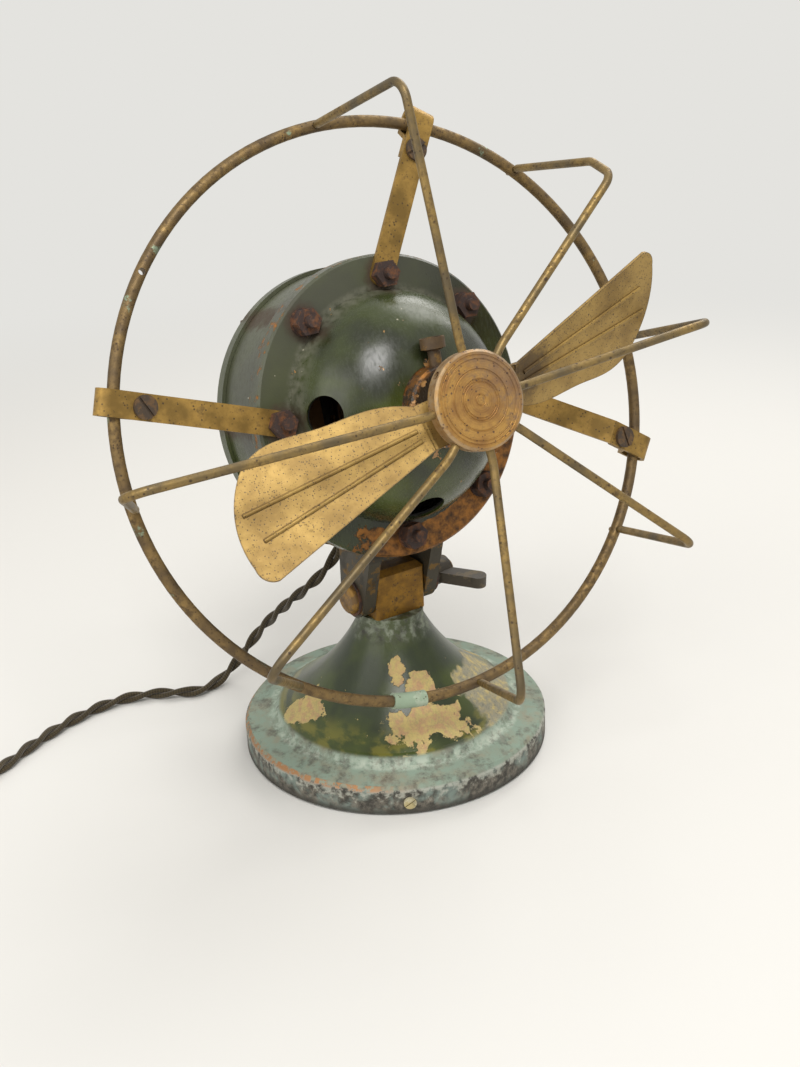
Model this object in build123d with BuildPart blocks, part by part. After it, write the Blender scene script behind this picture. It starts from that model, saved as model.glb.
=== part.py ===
"""Small antique desk fan: two-blade brass propeller, bent wire guard, tilting motor, trumpet base.

Frame: +Z up, origin on the table under the middle of the base, the fan faces -Y.
The motor head is drawn on its own planes: radius outwards, heights along the shaft, forwards.
"""
from build123d import *
import os
from math import cos, pi, radians, sin, tan

os.makedirs("parts", exist_ok=True)

# ---------------------------------------------------------------- fits
RUN_FIT = 0.05          # running clearance on the radius
SLIP_FIT = 0.10         # assembly clearance on the radius
SIDE_GAP = 0.30         # between faces that move past each other

# ---------------------------------------------------------------- head placing
HEAD_TILT = 14.0        # degrees that the head looks up
PIVOT_HEIGHT = 72.0
DRUM_ABOVE_PIVOT = 21.0     # from the pivot to the underside of the drum
FACE_BEFORE_PIVOT = 32.0    # motor flange face, ahead of the pivot

# ---------------------------------------------------------------- motor casing
FLANGE_OVERHANG = 3.2   # the front flange stands out past the drum
FLANGE_THICK = 3.0
RIM_DEPTH = 8.0
RIM_EDGE = 1.0
DRUM_RADIUS = 57.6
DRUM_WALL = 2.0
DRUM_LENGTH = 37.0
REAR_LIP_WALL = 1.5
REAR_LIP_DEPTH = 3.0
DOME_INSET = 11.2       # from the drum's outside to where the domes leave the flanges
DOME_FOOT = 2.6         # height where the dome starts to curve
DOME_FLARE = 0.4        # its foot is this much wider
DOME_WALL = 1.8
DOME_LEAN = (0.65, 0.76)    # share of the wall taken off across and down at a dome's middle
FRONT_DOME_INSET = 9.9      # from the dome's foot in to its middle
FRONT_DOME_RISE = 21.0
FRONT_BOSS_RADIUS = 15.8
FRONT_BOSS_ROOT = 31.5
FRONT_BOSS_FACE = 38.0
REAR_DOME_INSET = 9.4
REAR_DOME_RISE = 14.0
REAR_BOSS_RADIUS = 12.0
REAR_BOSS_ROOT = 21.5
REAR_BOSS_FACE = 29.0
VENT_RADIUS = 8.0
VENT_INSET = 5.4        # from the dome's foot in to the vents' middles
FRONT_VENTS = (174.0, 265.0, 354.0)
REAR_VENTS = (0.0, 90.0, 180.0)

# ---------------------------------------------------------------- studs and nuts
STUD_COUNT = 8
STUD_INSET = 5.2        # from the drum's outside in to the studs
STUD_PHASE = -4.3
STUD_RADIUS = 2.4
STUD_END = 9.0
STUD_SHOW = 1.5         # how far a stud stands out of its rear nut
NUT_FLATS = 9.6
NUT_HEIGHT = 4.5
NUT_TURN = 17.0         # each front nut stopped this many degrees further round than the last
WASHER_RADIUS = 5.5
WASHER_THICK = 1.2

# ---------------------------------------------------------------- bearings, shaft and rotor
SHAFT_RADIUS = 4.0
SHAFT_FRONT_STAND_OUT = 2.0     # past the propeller's plate
SHAFT_REAR_STAND_OUT = 4.0
BUSH_RADIUS = 7.0
BUSH_INSET = 0.5
BUSH_LENGTH = 15.0
CUP_RADIUS = 4.8
CUP_HEIGHT = 10.5
CUP_LIFT = 5.5          # bare stem under the bowl
CUP_WALL = 0.8
CUP_STEM = 2.5
CORE_FRONT = -10.0
CORE_LENGTH = 24.0
CORE_WALL = 11.5
AIR_GAP = 0.8
ARMATURE_RADIUS = 24.0
SLOT_COUNT = 12
SLOT_WIDTH = 3.0
SLOT_DEPTH = 7.0
POLE_WIDTH = 20.0
SHOE_WALL = 4.7
SHOE_HALF = 18.0
COIL_WALL = 8.5
COIL_DEPTH = 7.5
COIL_OVERHANG = 3.5
END_TURNS = 4.6
COMMUTATOR_RADIUS = 10.0
COMMUTATOR_FRONT = -42.0
COMMUTATOR_LENGTH = 11.0
YOKE_THICK = 3.0
YOKE_BORE = 14.0
BRUSH_SIDE = 6.0
BRUSH_LENGTH = 14.0
HOLDER_WALL = 1.6
HOLDER_END = 32.0

# ---------------------------------------------------------------- propeller
PLATE_FACE = 53.2       # rear face of the propeller's centre plate
PLATE_THICK = 1.2
PLATE_RADIUS = 14.0
NECK_START = 10.0
NECK_END = 22.0
NECK_HALF = 9.0
NECK_THICK = 1.5
LAP = 1.5               # how far a blade runs into its neck
BLADES = ((11.0, 26.0, 5.7), (191.0, 27.0, 12.3))     # turn, pitch, backward rake, degrees
BLADE_CORNER = (71.0, 28.6)         # outline, out from the neck's end and forwards
BLADE_NOSE = (75.2, 26.6)           # the front corner is rounded through here
BLADE_SHOULDER = (77.0, 21.6)
BLADE_TIP = (76.0, 3.0)
BLADE_TIP_END = (66.0, -13.0)
BLADE_BELLY = ((56.0, -17.0), (36.0, -15.5), (17.0, -14.5))
RIBS = (((3.0, 0.0), (73.0, 3.0)), ((3.0, 4.0), (70.0, 14.0)))     # start and end of each pressed rib
RIB_RADIUS = 0.8
COLLAR_RADIUS = 8.0
COLLAR_LENGTH = 14.4
SET_SCREW_RADIUS = 1.9

# ---------------------------------------------------------------- guard, knocked a little askew
GUARD_YAW = -3.95
GUARD_NOD = 4.92
GUARD_SHIFT = (-0.9, -2.7)
RING_RADIUS = 115.0
RING_ROD = 2.33
RING_HEIGHT = 4.1
HUB_RADIUS = 18.2
HUB_FRONT = 69.0
HUB_THICK = 7.0
HUB_PHASE = 4.0
HUB_GROOVES = (2.0, 6.5, 7.4, 11.0, 14.6, 16.0)
GROOVE_RADIUS = 0.3
WIRE_COUNT = 8
WIRE_RADIUS = 1.6
WIRE_TIP_RADIUS = 1.1
WIRE_STUB = 1.2         # how far a wire's tip stands out behind the ring
WIRE_BEND = 7.0
WIRE_SWING = 25.0       # gentle bend where a wire leaves the hub
WIRE_SHOULDER = 74.0    # height of the wires' outer bends
SOCKET_DEPTH = 5.0
SOCKET_RADIUS = WIRE_RADIUS + RUN_FIT
# each wire: angle of its ring hole, then radius and angle of its shoulder, as bent by use
WIRES = {
    1: (94.7, 112.9, 93.4),
    2: (48.9, 99.5, 44.1),
    3: (4.5, 105.0, 4.8),
    4: (-38.1, 105.6, -43.8),
    5: (-86.0, 108.8, -96.4),
    6: (-126.8, 124.6, -145.4),
    7: (-174.3, 134.9, -178.8),
}
KINKS = {2: (107.6, 46.0, 59.0)}    # a wire knocked out below its shoulder: radius, angle and height
KINK_BEND = 12.0
EMPTY_HOLE = 141.7      # the eighth wire is lost: its ring hole and hub socket are open
FERRULE_ANGLE = -102.0
FERRULE_HALF = 3.6
FERRULE_WALL = 0.85

# ---------------------------------------------------------------- guard straps
STRAP_WIDTH = 10.0
STRAP_THICK = 1.6
STRAP_FOLD = 3.6        # middle of the strap round the ring rod
STRAP_REACH = 2.5       # how far the fold runs past the ring's middle
STRAP_FLAT = 8.2        # from the stud to where the strap leaves the flange
STRAP_EYE = 4.6
STRAPS = {"strap_top": 72.3, "strap_left": 166.3, "strap_right": -19.0}     # angles on the ring
STRAP_HEM = 1.9         # from the clamp screw's hole to where the back leaf lies flat
CLAMP_INSET = 10.4      # clamp screw, inside the ring's middle
CLAMP_SCREW = 1.5
CLAMP_HEAD = 4.5
CLAMP_NUT = 3.1

# ---------------------------------------------------------------- fork and pivot
LUG_RADIUS = 9.3
LUG_THICK = 6.0
BLOCK_WIDTH = 24.6
BLOCK_DEPTH = 19.0
BLOCK_BELOW = 10.0
BLOCK_ABOVE = 12.0
BLOCK_TOP_CHAMFER = 2.5
PAD_OUTSET = 0.1
PAD_UNDERSIDE = 16.0
PAD_FRONT = -12.0
PAD_REAR = -34.8
PAD_SCREW = 1.9
PAD_SCREW_HEAD = 3.4
PAD_SCREW_SPREAD = 7.0
BOLT_RADIUS = 4.0
BOLT_HEAD_RADIUS = 7.0
BOLT_HEAD_THICK = 2.5
LUG_WASHER_RADIUS = 8.2
LEFT_WASHER = 1.0
RIGHT_WASHER = 2.0
NUT_HUB_RADIUS = 6.5
NUT_HUB_LENGTH = 9.2
WING_TURN = 5.0
WING_TIP = (35.5, 17.0)
WING_TIP_RADIUS = 3.6
WING_THICK = 5.0
WING_ROOT_ALONG = 0.55      # place and radius of a wing's root, as shares of the hub
WING_ROOT_ACROSS = 0.8
WING_ROOT_RADIUS = 0.36

# ---------------------------------------------------------------- base
BASE_RADIUS = 67.5
BASE_WALL = 2.0
RIM_LIFT = 0.8
RIM_HEIGHT = 12.0
RIM_INSET = 1.5         # rounding of the rim's upper edge, across
BAND_INSET = 13.5       # flat band, from the outside in to the step
BAND_HEIGHT = 15.0
STEP_INSET = 15.3
STEP_HEIGHT = 17.4
FOOT_INSET = 17.5       # where the trumpet leaves the step
FOOT_HEIGHT = 18.5
TRUMPET_MIDDLE = (29.5, 36.0)
COLLAR_BELOW_BLOCK = 4.0
WALL_LEAN = 0.7         # share of the wall taken off each way on the trumpet
NECK_RADIUS = 14.5
FELT_THICK = 2.0
FELT_INSET = 2.0
WEIGHT_EDGE = 7.0
WEIGHT_CENTRE = 20.0
WEIGHT_SHOULDER = 8.0   # from the band's inner edge in to where the weight rises
POST_NUT_FLATS = 13.0
POST_NUT_HEIGHT = 5.0
STUD_HEIGHT_IN_BLOCK = 4.4
RIM_SCREW_HEIGHT = 6.0
RIM_SCREW_RADIUS = 1.5
RIM_SCREW_HEAD = 2.6
RIM_SCREW_BITE = 8.0    # depth of its hole in the weight
RIM_SCREW_COUNT = 3
RIM_SCREW_PHASE = -118.0
RIM_SLOT_TURN = 35.0

# ---------------------------------------------------------------- cord
CORD_RADIUS = 2.6
CORD_LIE = CORD_RADIUS + 0.05       # height of the cord's middle on the table
BUSHING_RADIUS = 4.2
BUSHING_COLLAR = 6.4
BUSHING_NOSE = 7.0
FIRST_RUN = 11.0        # straight out of the bushing
TAIL_RUN = 22.0         # runs from the coil to the plug
TAIL_TURN = 0.12
# the cord's route after its first run, down behind the head and along the table
CORD_FALL = ((-4, 36.5, 74.5), (-14.6, 43, 60.7), (-19.3, 60, 46.1), (-25.1, 80, 26.2), (-33, 84, 14.5))
CORD_TABLE = (
    (-46, 84.8), (-60.5, 81), (-74, 90.5), (-88, 97), (-104, 97.6), (-122, 93), (-141, 84.5),
    (-160, 72.9), (-182, 62.5), (-205, 54),
)
COIL_TURNS_PER_LAYER = 4
COIL_RADIUS = 42.5
COIL_PITCH = 7.0
COIL_LAYER = 5.9
COIL_SAMPLES = 24
PLUG_RADIUS = 11.5
PLUG_LENGTH = 26.0
PLUG_SLEEVE = 6.0       # heights of the sleeve's end, the flare's middle and its end
PLUG_FLARE = 10.0
PLUG_SHOULDER = 16.0
PIN_SPREAD = 12.7
PIN_SECTION = (6.3, 1.5)
PIN_LENGTH = 16.0
PIN_SEAT = 6.0

# ================================================================= planes and small helpers
right = Vector(1, 0, 0)
ahead = Vector(0, -cos(radians(HEAD_TILT)), sin(radians(HEAD_TILT)))
upward = ahead.cross(right)
pivot = Vector(0, 0, PIVOT_HEIGHT)
axis_above_pivot = DRUM_RADIUS + DRUM_ABOVE_PIVOT
motor_centre = pivot + upward * axis_above_pivot + ahead * FACE_BEFORE_PIVOT
MOTOR = Plane(origin=motor_centre, x_dir=right, z_dir=ahead)
MOTOR_HALF = Plane(origin=motor_centre, x_dir=right, z_dir=-upward)
MOTOR_AXIS = Axis(motor_centre, ahead)
BASE_AXIS = Axis.Z

guard_ahead = (ahead + right * tan(radians(GUARD_YAW)) + upward * tan(radians(GUARD_NOD))).normalized()
guard_right = (right - guard_ahead * right.dot(guard_ahead)).normalized()
guard_centre = motor_centre + right * GUARD_SHIFT[0] + upward * GUARD_SHIFT[1]
GUARD = Plane(origin=guard_centre, x_dir=guard_right, z_dir=guard_ahead)
GUARD_HALF = Plane(origin=guard_centre, x_dir=guard_right, z_dir=-GUARD.y_dir)
GUARD_AXIS = Axis(guard_centre, guard_ahead)


flange_radius = DRUM_RADIUS + FLANGE_OVERHANG
dome_radius = DRUM_RADIUS - DOME_INSET
vent_circle = dome_radius - VENT_INSET
stud_circle = DRUM_RADIUS - STUD_INSET


def polar(plane, radius, angle, height):
    """World point at a radius, an angle in degrees and a height of a plane."""
    turn = radians(angle)
    return plane.from_local_coords(Vector(radius * cos(turn), radius * sin(turn), height))


def spoke(plane, angle):
    """World direction that points outwards at an angle of a plane."""
    return polar(plane, 1, angle, 0) - polar(plane, 0, angle, 0)


def circle_centre(first, second, third):
    """Centre of the circle through three points of a profile."""
    (ax, ay), (bx, by), (cx, cy) = first, second, third
    spread = 2 * (ax * (by - cy) + bx * (cy - ay) + cx * (ay - by))
    a_square, b_square, c_square = ax**2 + ay**2, bx**2 + by**2, cx**2 + cy**2
    x = (a_square * (by - cy) + b_square * (cy - ay) + c_square * (ay - by)) / spread
    y = (a_square * (cx - bx) + b_square * (ax - cx) + c_square * (bx - ax)) / spread
    return Vector(x, y)


def dome_plane(first, second, third, base, sense, angle, radius=vent_circle):
    """Plane that lies on a casing's dome at a radius, its Z along the dome's outward normal."""
    centre = circle_centre(first, second, third)
    bow = (Vector(*first) - centre).length
    lean = (radius - centre.X) / bow
    rise = (1 - lean**2) ** 0.5
    place = polar(MOTOR, radius, angle, base + sense * (centre.Y + bow * rise))
    normal = spoke(MOTOR, angle) * lean + ahead * (sense * rise)
    return Plane(origin=place, x_dir=ahead.cross(spoke(MOTOR, angle)), z_dir=normal)


def hexagon_radius(flats):
    """Corner radius of a hexagon with this width across flats."""
    return flats / (2 * cos(pi / 6))


# ================================================================= motor casings
dome_foot = (dome_radius, DOME_FOOT)
front_middle = (dome_radius - FRONT_DOME_INSET, FRONT_DOME_RISE)
rear_middle = (dome_radius - REAR_DOME_INSET, REAR_DOME_RISE)
front_profile = (dome_foot, front_middle, (FRONT_BOSS_RADIUS, FRONT_BOSS_ROOT))
rear_profile = (dome_foot, rear_middle, (REAR_BOSS_RADIUS, REAR_BOSS_ROOT))
drum_front = -FLANGE_THICK
drum_rear = drum_front - DRUM_LENGTH
rear_face = drum_rear - FLANGE_THICK
lip_radius = DRUM_RADIUS + SLIP_FIT + REAR_LIP_WALL


def casing(profile, boss_radius, boss_face, edge_radius, edge_depth, sense, base):
    """Closed section of a casing: boss, dome, flange and the lip that holds the drum.

    Heights count from the flange's outer face at `base`, along the shaft times `sense`.
    """
    foot, middle, root = profile
    bore = BUSH_RADIUS + RUN_FIT
    seat = DRUM_RADIUS + SLIP_FIT
    inner_foot = dome_radius - DOME_WALL

    def at(radius, height):
        return (radius, base + sense * height)

    Polyline(
        at(root[0], root[1]), at(boss_radius, boss_face - RIM_EDGE),
        at(boss_radius - RIM_EDGE, boss_face), at(bore, boss_face),
        at(bore, root[1] - DOME_WALL), at(root[0] - DOME_WALL / 2, root[1] - DOME_WALL),
    )
    ThreePointArc(
        at(root[0] - DOME_WALL / 2, root[1] - DOME_WALL),
        at(middle[0] - DOME_WALL * DOME_LEAN[0], middle[1] - DOME_WALL * DOME_LEAN[1]),
        at(inner_foot, 0),
    )
    Polyline(
        at(inner_foot, 0), at(inner_foot, -FLANGE_THICK), at(seat, -FLANGE_THICK),
        at(seat, -edge_depth), at(edge_radius, -edge_depth), at(edge_radius, -RIM_EDGE),
        at(edge_radius - RIM_EDGE, 0), at(foot[0] + DOME_FLARE, 0), at(*foot),
    )
    ThreePointArc(at(*foot), at(*middle), at(*root))


def stud_holes(height):
    """Places of the eight studs on the motor plane at a height."""
    with BuildSketch(MOTOR.offset(height)) as holes:
        with PolarLocations(stud_circle, STUD_COUNT, start_angle=STUD_PHASE):
            Circle(STUD_RADIUS + SLIP_FIT)
    return holes.sketch


def cup_hole(height, depth):
    """Cutter for an oil cup's stem: a round rod from the top of a boss down to its bush."""
    foot = motor_centre + ahead * height + upward * BUSH_RADIUS
    return Plane(origin=foot, x_dir=right, z_dir=upward).location * Cylinder(
        CUP_STEM + RUN_FIT, depth, align=(Align.CENTER, Align.CENTER, Align.MIN), mode=Mode.PRIVATE
    )


front_cup_height = (FRONT_BOSS_ROOT + FRONT_BOSS_FACE) / 2
rear_cup_height = rear_face - REAR_BOSS_FACE + CUP_STEM + SIDE_GAP

with BuildPart() as front_shell:
    with BuildSketch(MOTOR_HALF):
        with BuildLine():
            casing(front_profile, FRONT_BOSS_RADIUS, FRONT_BOSS_FACE, flange_radius, RIM_DEPTH, 1, 0)
        make_face()
    revolve(axis=MOTOR_AXIS)
    for vent_angle in FRONT_VENTS:
        with BuildSketch(dome_plane(*front_profile, 0, 1, vent_angle)):
            Circle(VENT_RADIUS)
        extrude(amount=VENT_RADIUS, both=True, mode=Mode.SUBTRACT)
    add(cup_hole(front_cup_height, FRONT_BOSS_RADIUS), mode=Mode.SUBTRACT)
    extrude(stud_holes(0), amount=-FLANGE_THICK, mode=Mode.SUBTRACT)

pad_screw_heights = (PAD_FRONT - PAD_SCREW_HEAD - RIM_EDGE, PAD_REAR + PAD_SCREW_HEAD + RIM_EDGE)

with BuildPart() as motor_drum:
    with BuildSketch(MOTOR.offset(drum_rear)):
        Circle(DRUM_RADIUS)
        Circle(DRUM_RADIUS - DRUM_WALL, mode=Mode.SUBTRACT)
    extrude(amount=DRUM_LENGTH)
    for across in (-PAD_SCREW_SPREAD, PAD_SCREW_SPREAD):
        for height in pad_screw_heights:
            with BuildSketch(Plane(origin=motor_centre + ahead * height + right * across, z_dir=-upward)):
                Circle(PAD_SCREW + RUN_FIT)
            extrude(amount=DRUM_RADIUS, mode=Mode.SUBTRACT)

bushing_angle = -90.0
bushing_plane = dome_plane(*rear_profile, rear_face, -1, bushing_angle)

with BuildPart() as rear_shell:
    with BuildSketch(MOTOR_HALF):
        with BuildLine():
            casing(
                rear_profile, REAR_BOSS_RADIUS, REAR_BOSS_FACE, lip_radius,
                FLANGE_THICK + REAR_LIP_DEPTH, -1, rear_face,
            )
        make_face()
    revolve(axis=MOTOR_AXIS)
    for vent_angle in REAR_VENTS:
        with BuildSketch(dome_plane(*rear_profile, rear_face, -1, vent_angle)):
            Circle(VENT_RADIUS)
        extrude(amount=VENT_RADIUS, both=True, mode=Mode.SUBTRACT)
    with BuildSketch(bushing_plane):
        Circle(BUSHING_RADIUS + RUN_FIT)
    extrude(amount=VENT_RADIUS, both=True, mode=Mode.SUBTRACT)
    add(cup_hole(rear_cup_height, REAR_BOSS_RADIUS), mode=Mode.SUBTRACT)
    extrude(stud_holes(rear_face), amount=FLANGE_THICK, mode=Mode.SUBTRACT)

# ================================================================= studs, washers, nuts
rear_stud_end = rear_face - NUT_HEIGHT - STUD_SHOW
stud_angles = [STUD_PHASE + 360 / STUD_COUNT * step for step in range(STUD_COUNT)]


def strap_stud(ring_angle):
    """Angle of the stud nearest to a strap's place on the ring."""
    return max(stud_angles, key=lambda angle: cos(radians(angle - ring_angle)))


strapped = {strap_stud(ring_angle) for ring_angle in STRAPS.values()}


def on_stud(angle, height):
    """Plane on a stud's centre line at a height of the motor."""
    return Plane(origin=polar(MOTOR, stud_circle, angle, height), x_dir=spoke(MOTOR, angle), z_dir=ahead)


with BuildPart() as housing_studs:
    with BuildSketch(MOTOR.offset(rear_stud_end)):
        with PolarLocations(stud_circle, STUD_COUNT, start_angle=STUD_PHASE):
            Circle(STUD_RADIUS)
    extrude(amount=STUD_END - rear_stud_end)

with BuildPart() as front_washers:
    for stud_angle in stud_angles:
        if stud_angle not in strapped:
            with BuildSketch(on_stud(stud_angle, 0)):
                Circle(WASHER_RADIUS)
                Circle(STUD_RADIUS + SLIP_FIT, mode=Mode.SUBTRACT)
            extrude(amount=WASHER_THICK)

with BuildPart() as front_nuts:
    for number, stud_angle in enumerate(stud_angles):
        nut_seat = STRAP_THICK if stud_angle in strapped else WASHER_THICK
        with BuildSketch(on_stud(stud_angle, nut_seat)):
            RegularPolygon(hexagon_radius(NUT_FLATS), 6, rotation=NUT_TURN * number)
            Circle(STUD_RADIUS + RUN_FIT, mode=Mode.SUBTRACT)
        extrude(amount=NUT_HEIGHT)

with BuildPart() as rear_nuts:
    for stud_angle in stud_angles:
        with BuildSketch(on_stud(stud_angle, rear_face)):
            RegularPolygon(hexagon_radius(NUT_FLATS), 6)
            Circle(STUD_RADIUS + RUN_FIT, mode=Mode.SUBTRACT)
        extrude(amount=-NUT_HEIGHT)

# ================================================================= bearings and oil cups
front_bush_end = FRONT_BOSS_FACE - BUSH_INSET
rear_bush_end = rear_face - REAR_BOSS_FACE + BUSH_INSET


def bush(height, length):
    """Plain bearing bush, its front at a height of the motor."""
    with BuildPart() as sleeve:
        with BuildSketch(MOTOR.offset(height)):
            Circle(BUSH_RADIUS)
            Circle(SHAFT_RADIUS + RUN_FIT, mode=Mode.SUBTRACT)
        extrude(amount=-length)
    return sleeve


def oil_cup(height, boss_radius):
    """Turned oil cup that stands on a boss, open at the top."""
    foot = motor_centre + ahead * height
    cup_plane = Plane(origin=foot, x_dir=right, z_dir=ahead)
    rim = boss_radius + CUP_HEIGHT
    bowl = boss_radius + CUP_LIFT
    with BuildPart() as cup:
        with BuildSketch(cup_plane):
            with BuildLine():
                Polyline(
                    (0, BUSH_RADIUS + RUN_FIT), (CUP_STEM, BUSH_RADIUS + RUN_FIT),
                    (CUP_STEM, bowl), (CUP_RADIUS, bowl + CUP_WALL),
                    (CUP_RADIUS, rim), (CUP_RADIUS - CUP_WALL, rim),
                    (CUP_RADIUS - CUP_WALL, bowl + 2 * CUP_WALL),
                    (0, bowl + 2 * CUP_WALL), close=True,
                )
            make_face()
        revolve(axis=Axis(foot, cup_plane.y_dir))
    return cup


front_bush = bush(front_bush_end, BUSH_LENGTH)
rear_bush = bush(rear_bush_end + BUSH_LENGTH, BUSH_LENGTH)
front_oil_cup = oil_cup(front_cup_height, FRONT_BOSS_RADIUS)
rear_oil_cup = oil_cup(rear_cup_height, REAR_BOSS_RADIUS)

# ================================================================= field and brush gear
core_radius = DRUM_RADIUS - DRUM_WALL - RUN_FIT
core_rear = CORE_FRONT - CORE_LENGTH
pole_bore = ARMATURE_RADIUS + AIR_GAP

with BuildPart() as field_core:
    with BuildSketch(MOTOR.offset(core_rear)):
        Circle(pole_bore + SHOE_WALL)
        Rectangle(2 * core_radius, 2 * SHOE_HALF, mode=Mode.INTERSECT)
        Rectangle(2 * (core_radius - CORE_WALL / 2), POLE_WIDTH)
        Circle(pole_bore, mode=Mode.SUBTRACT)
    extrude(amount=CORE_LENGTH)
    with BuildSketch(MOTOR.offset(core_rear)):
        Circle(core_radius)
        Circle(core_radius - CORE_WALL, mode=Mode.SUBTRACT)
        with PolarLocations(stud_circle, STUD_COUNT, start_angle=STUD_PHASE):
            Circle(STUD_RADIUS + SLIP_FIT, mode=Mode.SUBTRACT)
    extrude(amount=CORE_LENGTH)

coil_start = pole_bore + SHOE_WALL + SIDE_GAP
coil_middle = CORE_FRONT - CORE_LENGTH / 2

with BuildPart() as field_coils:
    with BuildSketch(Plane(origin=motor_centre + right * coil_start, x_dir=ahead, z_dir=right)):
        with Locations((coil_middle, 0)):
            coil_across = POLE_WIDTH + 2 * COIL_WALL
            RectangleRounded(CORE_LENGTH + 2 * (COIL_OVERHANG + SIDE_GAP), coil_across, COIL_WALL / 2)
            Rectangle(CORE_LENGTH + 2 * SIDE_GAP, POLE_WIDTH + 2 * SIDE_GAP, mode=Mode.SUBTRACT)
    extrude(amount=COIL_DEPTH)
    mirror(about=Plane(origin=motor_centre, z_dir=right))

yoke_front = rear_face + FLANGE_THICK
yoke_rear = yoke_front - YOKE_THICK
brush_height = yoke_rear - HOLDER_WALL - SLIP_FIT - BRUSH_SIDE / 2
holder_side = BRUSH_SIDE + 2 * (HOLDER_WALL + SLIP_FIT)

with BuildPart() as brush_yoke:
    with BuildSketch(MOTOR.offset(yoke_rear)):
        Circle(dome_radius - DOME_WALL - SLIP_FIT)
        Circle(YOKE_BORE, mode=Mode.SUBTRACT)
    extrude(amount=YOKE_THICK)

with BuildPart() as brush_holders:
    for side in (-1, 1):
        holder_start = motor_centre + ahead * brush_height + right * (side * YOKE_BORE)
        with BuildSketch(Plane(origin=holder_start, x_dir=ahead, z_dir=right * side)):
            Rectangle(holder_side, holder_side)
            Rectangle(BRUSH_SIDE + 2 * SLIP_FIT, BRUSH_SIDE + 2 * SLIP_FIT, mode=Mode.SUBTRACT)
        extrude(amount=HOLDER_END - YOKE_BORE)

with BuildPart() as brushes:
    for side in (-1, 1):
        brush_start = motor_centre + ahead * brush_height + right * (side * (COMMUTATOR_RADIUS + SLIP_FIT))
        with BuildSketch(Plane(origin=brush_start, x_dir=ahead, z_dir=right * side)):
            Rectangle(BRUSH_SIDE, BRUSH_SIDE)
        extrude(amount=BRUSH_LENGTH)

# ================================================================= rotor
shaft_rear = rear_face - REAR_BOSS_FACE - SHAFT_REAR_STAND_OUT
shaft_front = PLATE_FACE + PLATE_THICK + SHAFT_FRONT_STAND_OUT
armature_front = CORE_FRONT - RIM_EDGE
armature_length = CORE_LENGTH - 2 * RIM_EDGE
armature_rear = armature_front - armature_length
slot_middle = ARMATURE_RADIUS - SLOT_DEPTH / 2

with BuildPart() as rotor_shaft:
    with BuildSketch(MOTOR.offset(shaft_rear)):
        Circle(SHAFT_RADIUS)
    extrude(amount=shaft_front - shaft_rear)
    chamfer(rotor_shaft.edges().filter_by(GeomType.CIRCLE), RIM_EDGE / 2)

with BuildPart() as armature_core:
    with BuildSketch(MOTOR.offset(armature_rear)):
        Circle(ARMATURE_RADIUS)
        Circle(SHAFT_RADIUS + RUN_FIT, mode=Mode.SUBTRACT)
        with PolarLocations(slot_middle + SLIP_FIT, SLOT_COUNT):
            Rectangle(SLOT_DEPTH, SLOT_WIDTH, mode=Mode.SUBTRACT)
    extrude(amount=armature_length)

with BuildPart() as armature_winding:
    for ring_start in (armature_front + SLIP_FIT, armature_rear - SLIP_FIT - END_TURNS):
        with BuildSketch(MOTOR.offset(ring_start)):
            Circle(ARMATURE_RADIUS - RIM_EDGE)
            Circle(COMMUTATOR_RADIUS, mode=Mode.SUBTRACT)
        extrude(amount=END_TURNS)
    with BuildSketch(MOTOR.offset(armature_rear - END_TURNS / 2)):
        with PolarLocations(slot_middle + SLIP_FIT, SLOT_COUNT):
            Rectangle(SLOT_DEPTH - 4 * SLIP_FIT, SLOT_WIDTH - 2 * SLIP_FIT)
    extrude(amount=armature_length + END_TURNS)

with BuildPart() as commutator:
    with BuildSketch(MOTOR.offset(COMMUTATOR_FRONT)):
        Circle(COMMUTATOR_RADIUS)
        Circle(SHAFT_RADIUS + RUN_FIT, mode=Mode.SUBTRACT)
        with PolarLocations(COMMUTATOR_RADIUS, SLOT_COUNT):
            Rectangle(2 * RIM_EDGE, RIM_EDGE / 2, mode=Mode.SUBTRACT)
    extrude(amount=-COMMUTATOR_LENGTH)

collar_rear = PLATE_FACE - COLLAR_LENGTH
set_screw_plane = Plane(
    origin=motor_centre + ahead * (collar_rear + COLLAR_LENGTH / 2) + upward * (SHAFT_RADIUS + RUN_FIT),
    x_dir=right,
    z_dir=upward,
)

with BuildPart() as propeller_collar:
    with BuildSketch(MOTOR.offset(collar_rear)):
        Circle(COLLAR_RADIUS)
        Circle(SHAFT_RADIUS + RUN_FIT, mode=Mode.SUBTRACT)
    extrude(amount=COLLAR_LENGTH)
    with BuildSketch(set_screw_plane):
        Circle(SET_SCREW_RADIUS + RUN_FIT)
    extrude(amount=COLLAR_RADIUS, mode=Mode.SUBTRACT)

with BuildPart() as collar_screw:
    with BuildSketch(set_screw_plane):
        Circle(SET_SCREW_RADIUS)
    extrude(amount=COLLAR_RADIUS - SHAFT_RADIUS)
    with BuildSketch(set_screw_plane.offset(COLLAR_RADIUS - SHAFT_RADIUS)):
        Circle(SET_SCREW_RADIUS + RIM_EDGE)
        Rectangle(3 * SET_SCREW_RADIUS, RIM_EDGE / 2, mode=Mode.SUBTRACT)
    extrude(amount=2 * RIM_EDGE)


def blade_plane(turn, pitch, rake):
    """Plane of a blade's rear face: origin on the neck's end, X outwards, Y towards its front edge."""
    outward = spoke(MOTOR, turn)
    around = ahead.cross(outward)
    start = motor_centre + ahead * PLATE_FACE + outward * NECK_END
    leaned = (outward - ahead * tan(radians(rake))).normalized()
    chord = around * cos(radians(pitch)) + ahead * sin(radians(pitch))
    chord = (chord - leaned * chord.dot(leaned)).normalized()
    return Plane(origin=start, x_dir=leaned, z_dir=leaned.cross(chord))


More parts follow.
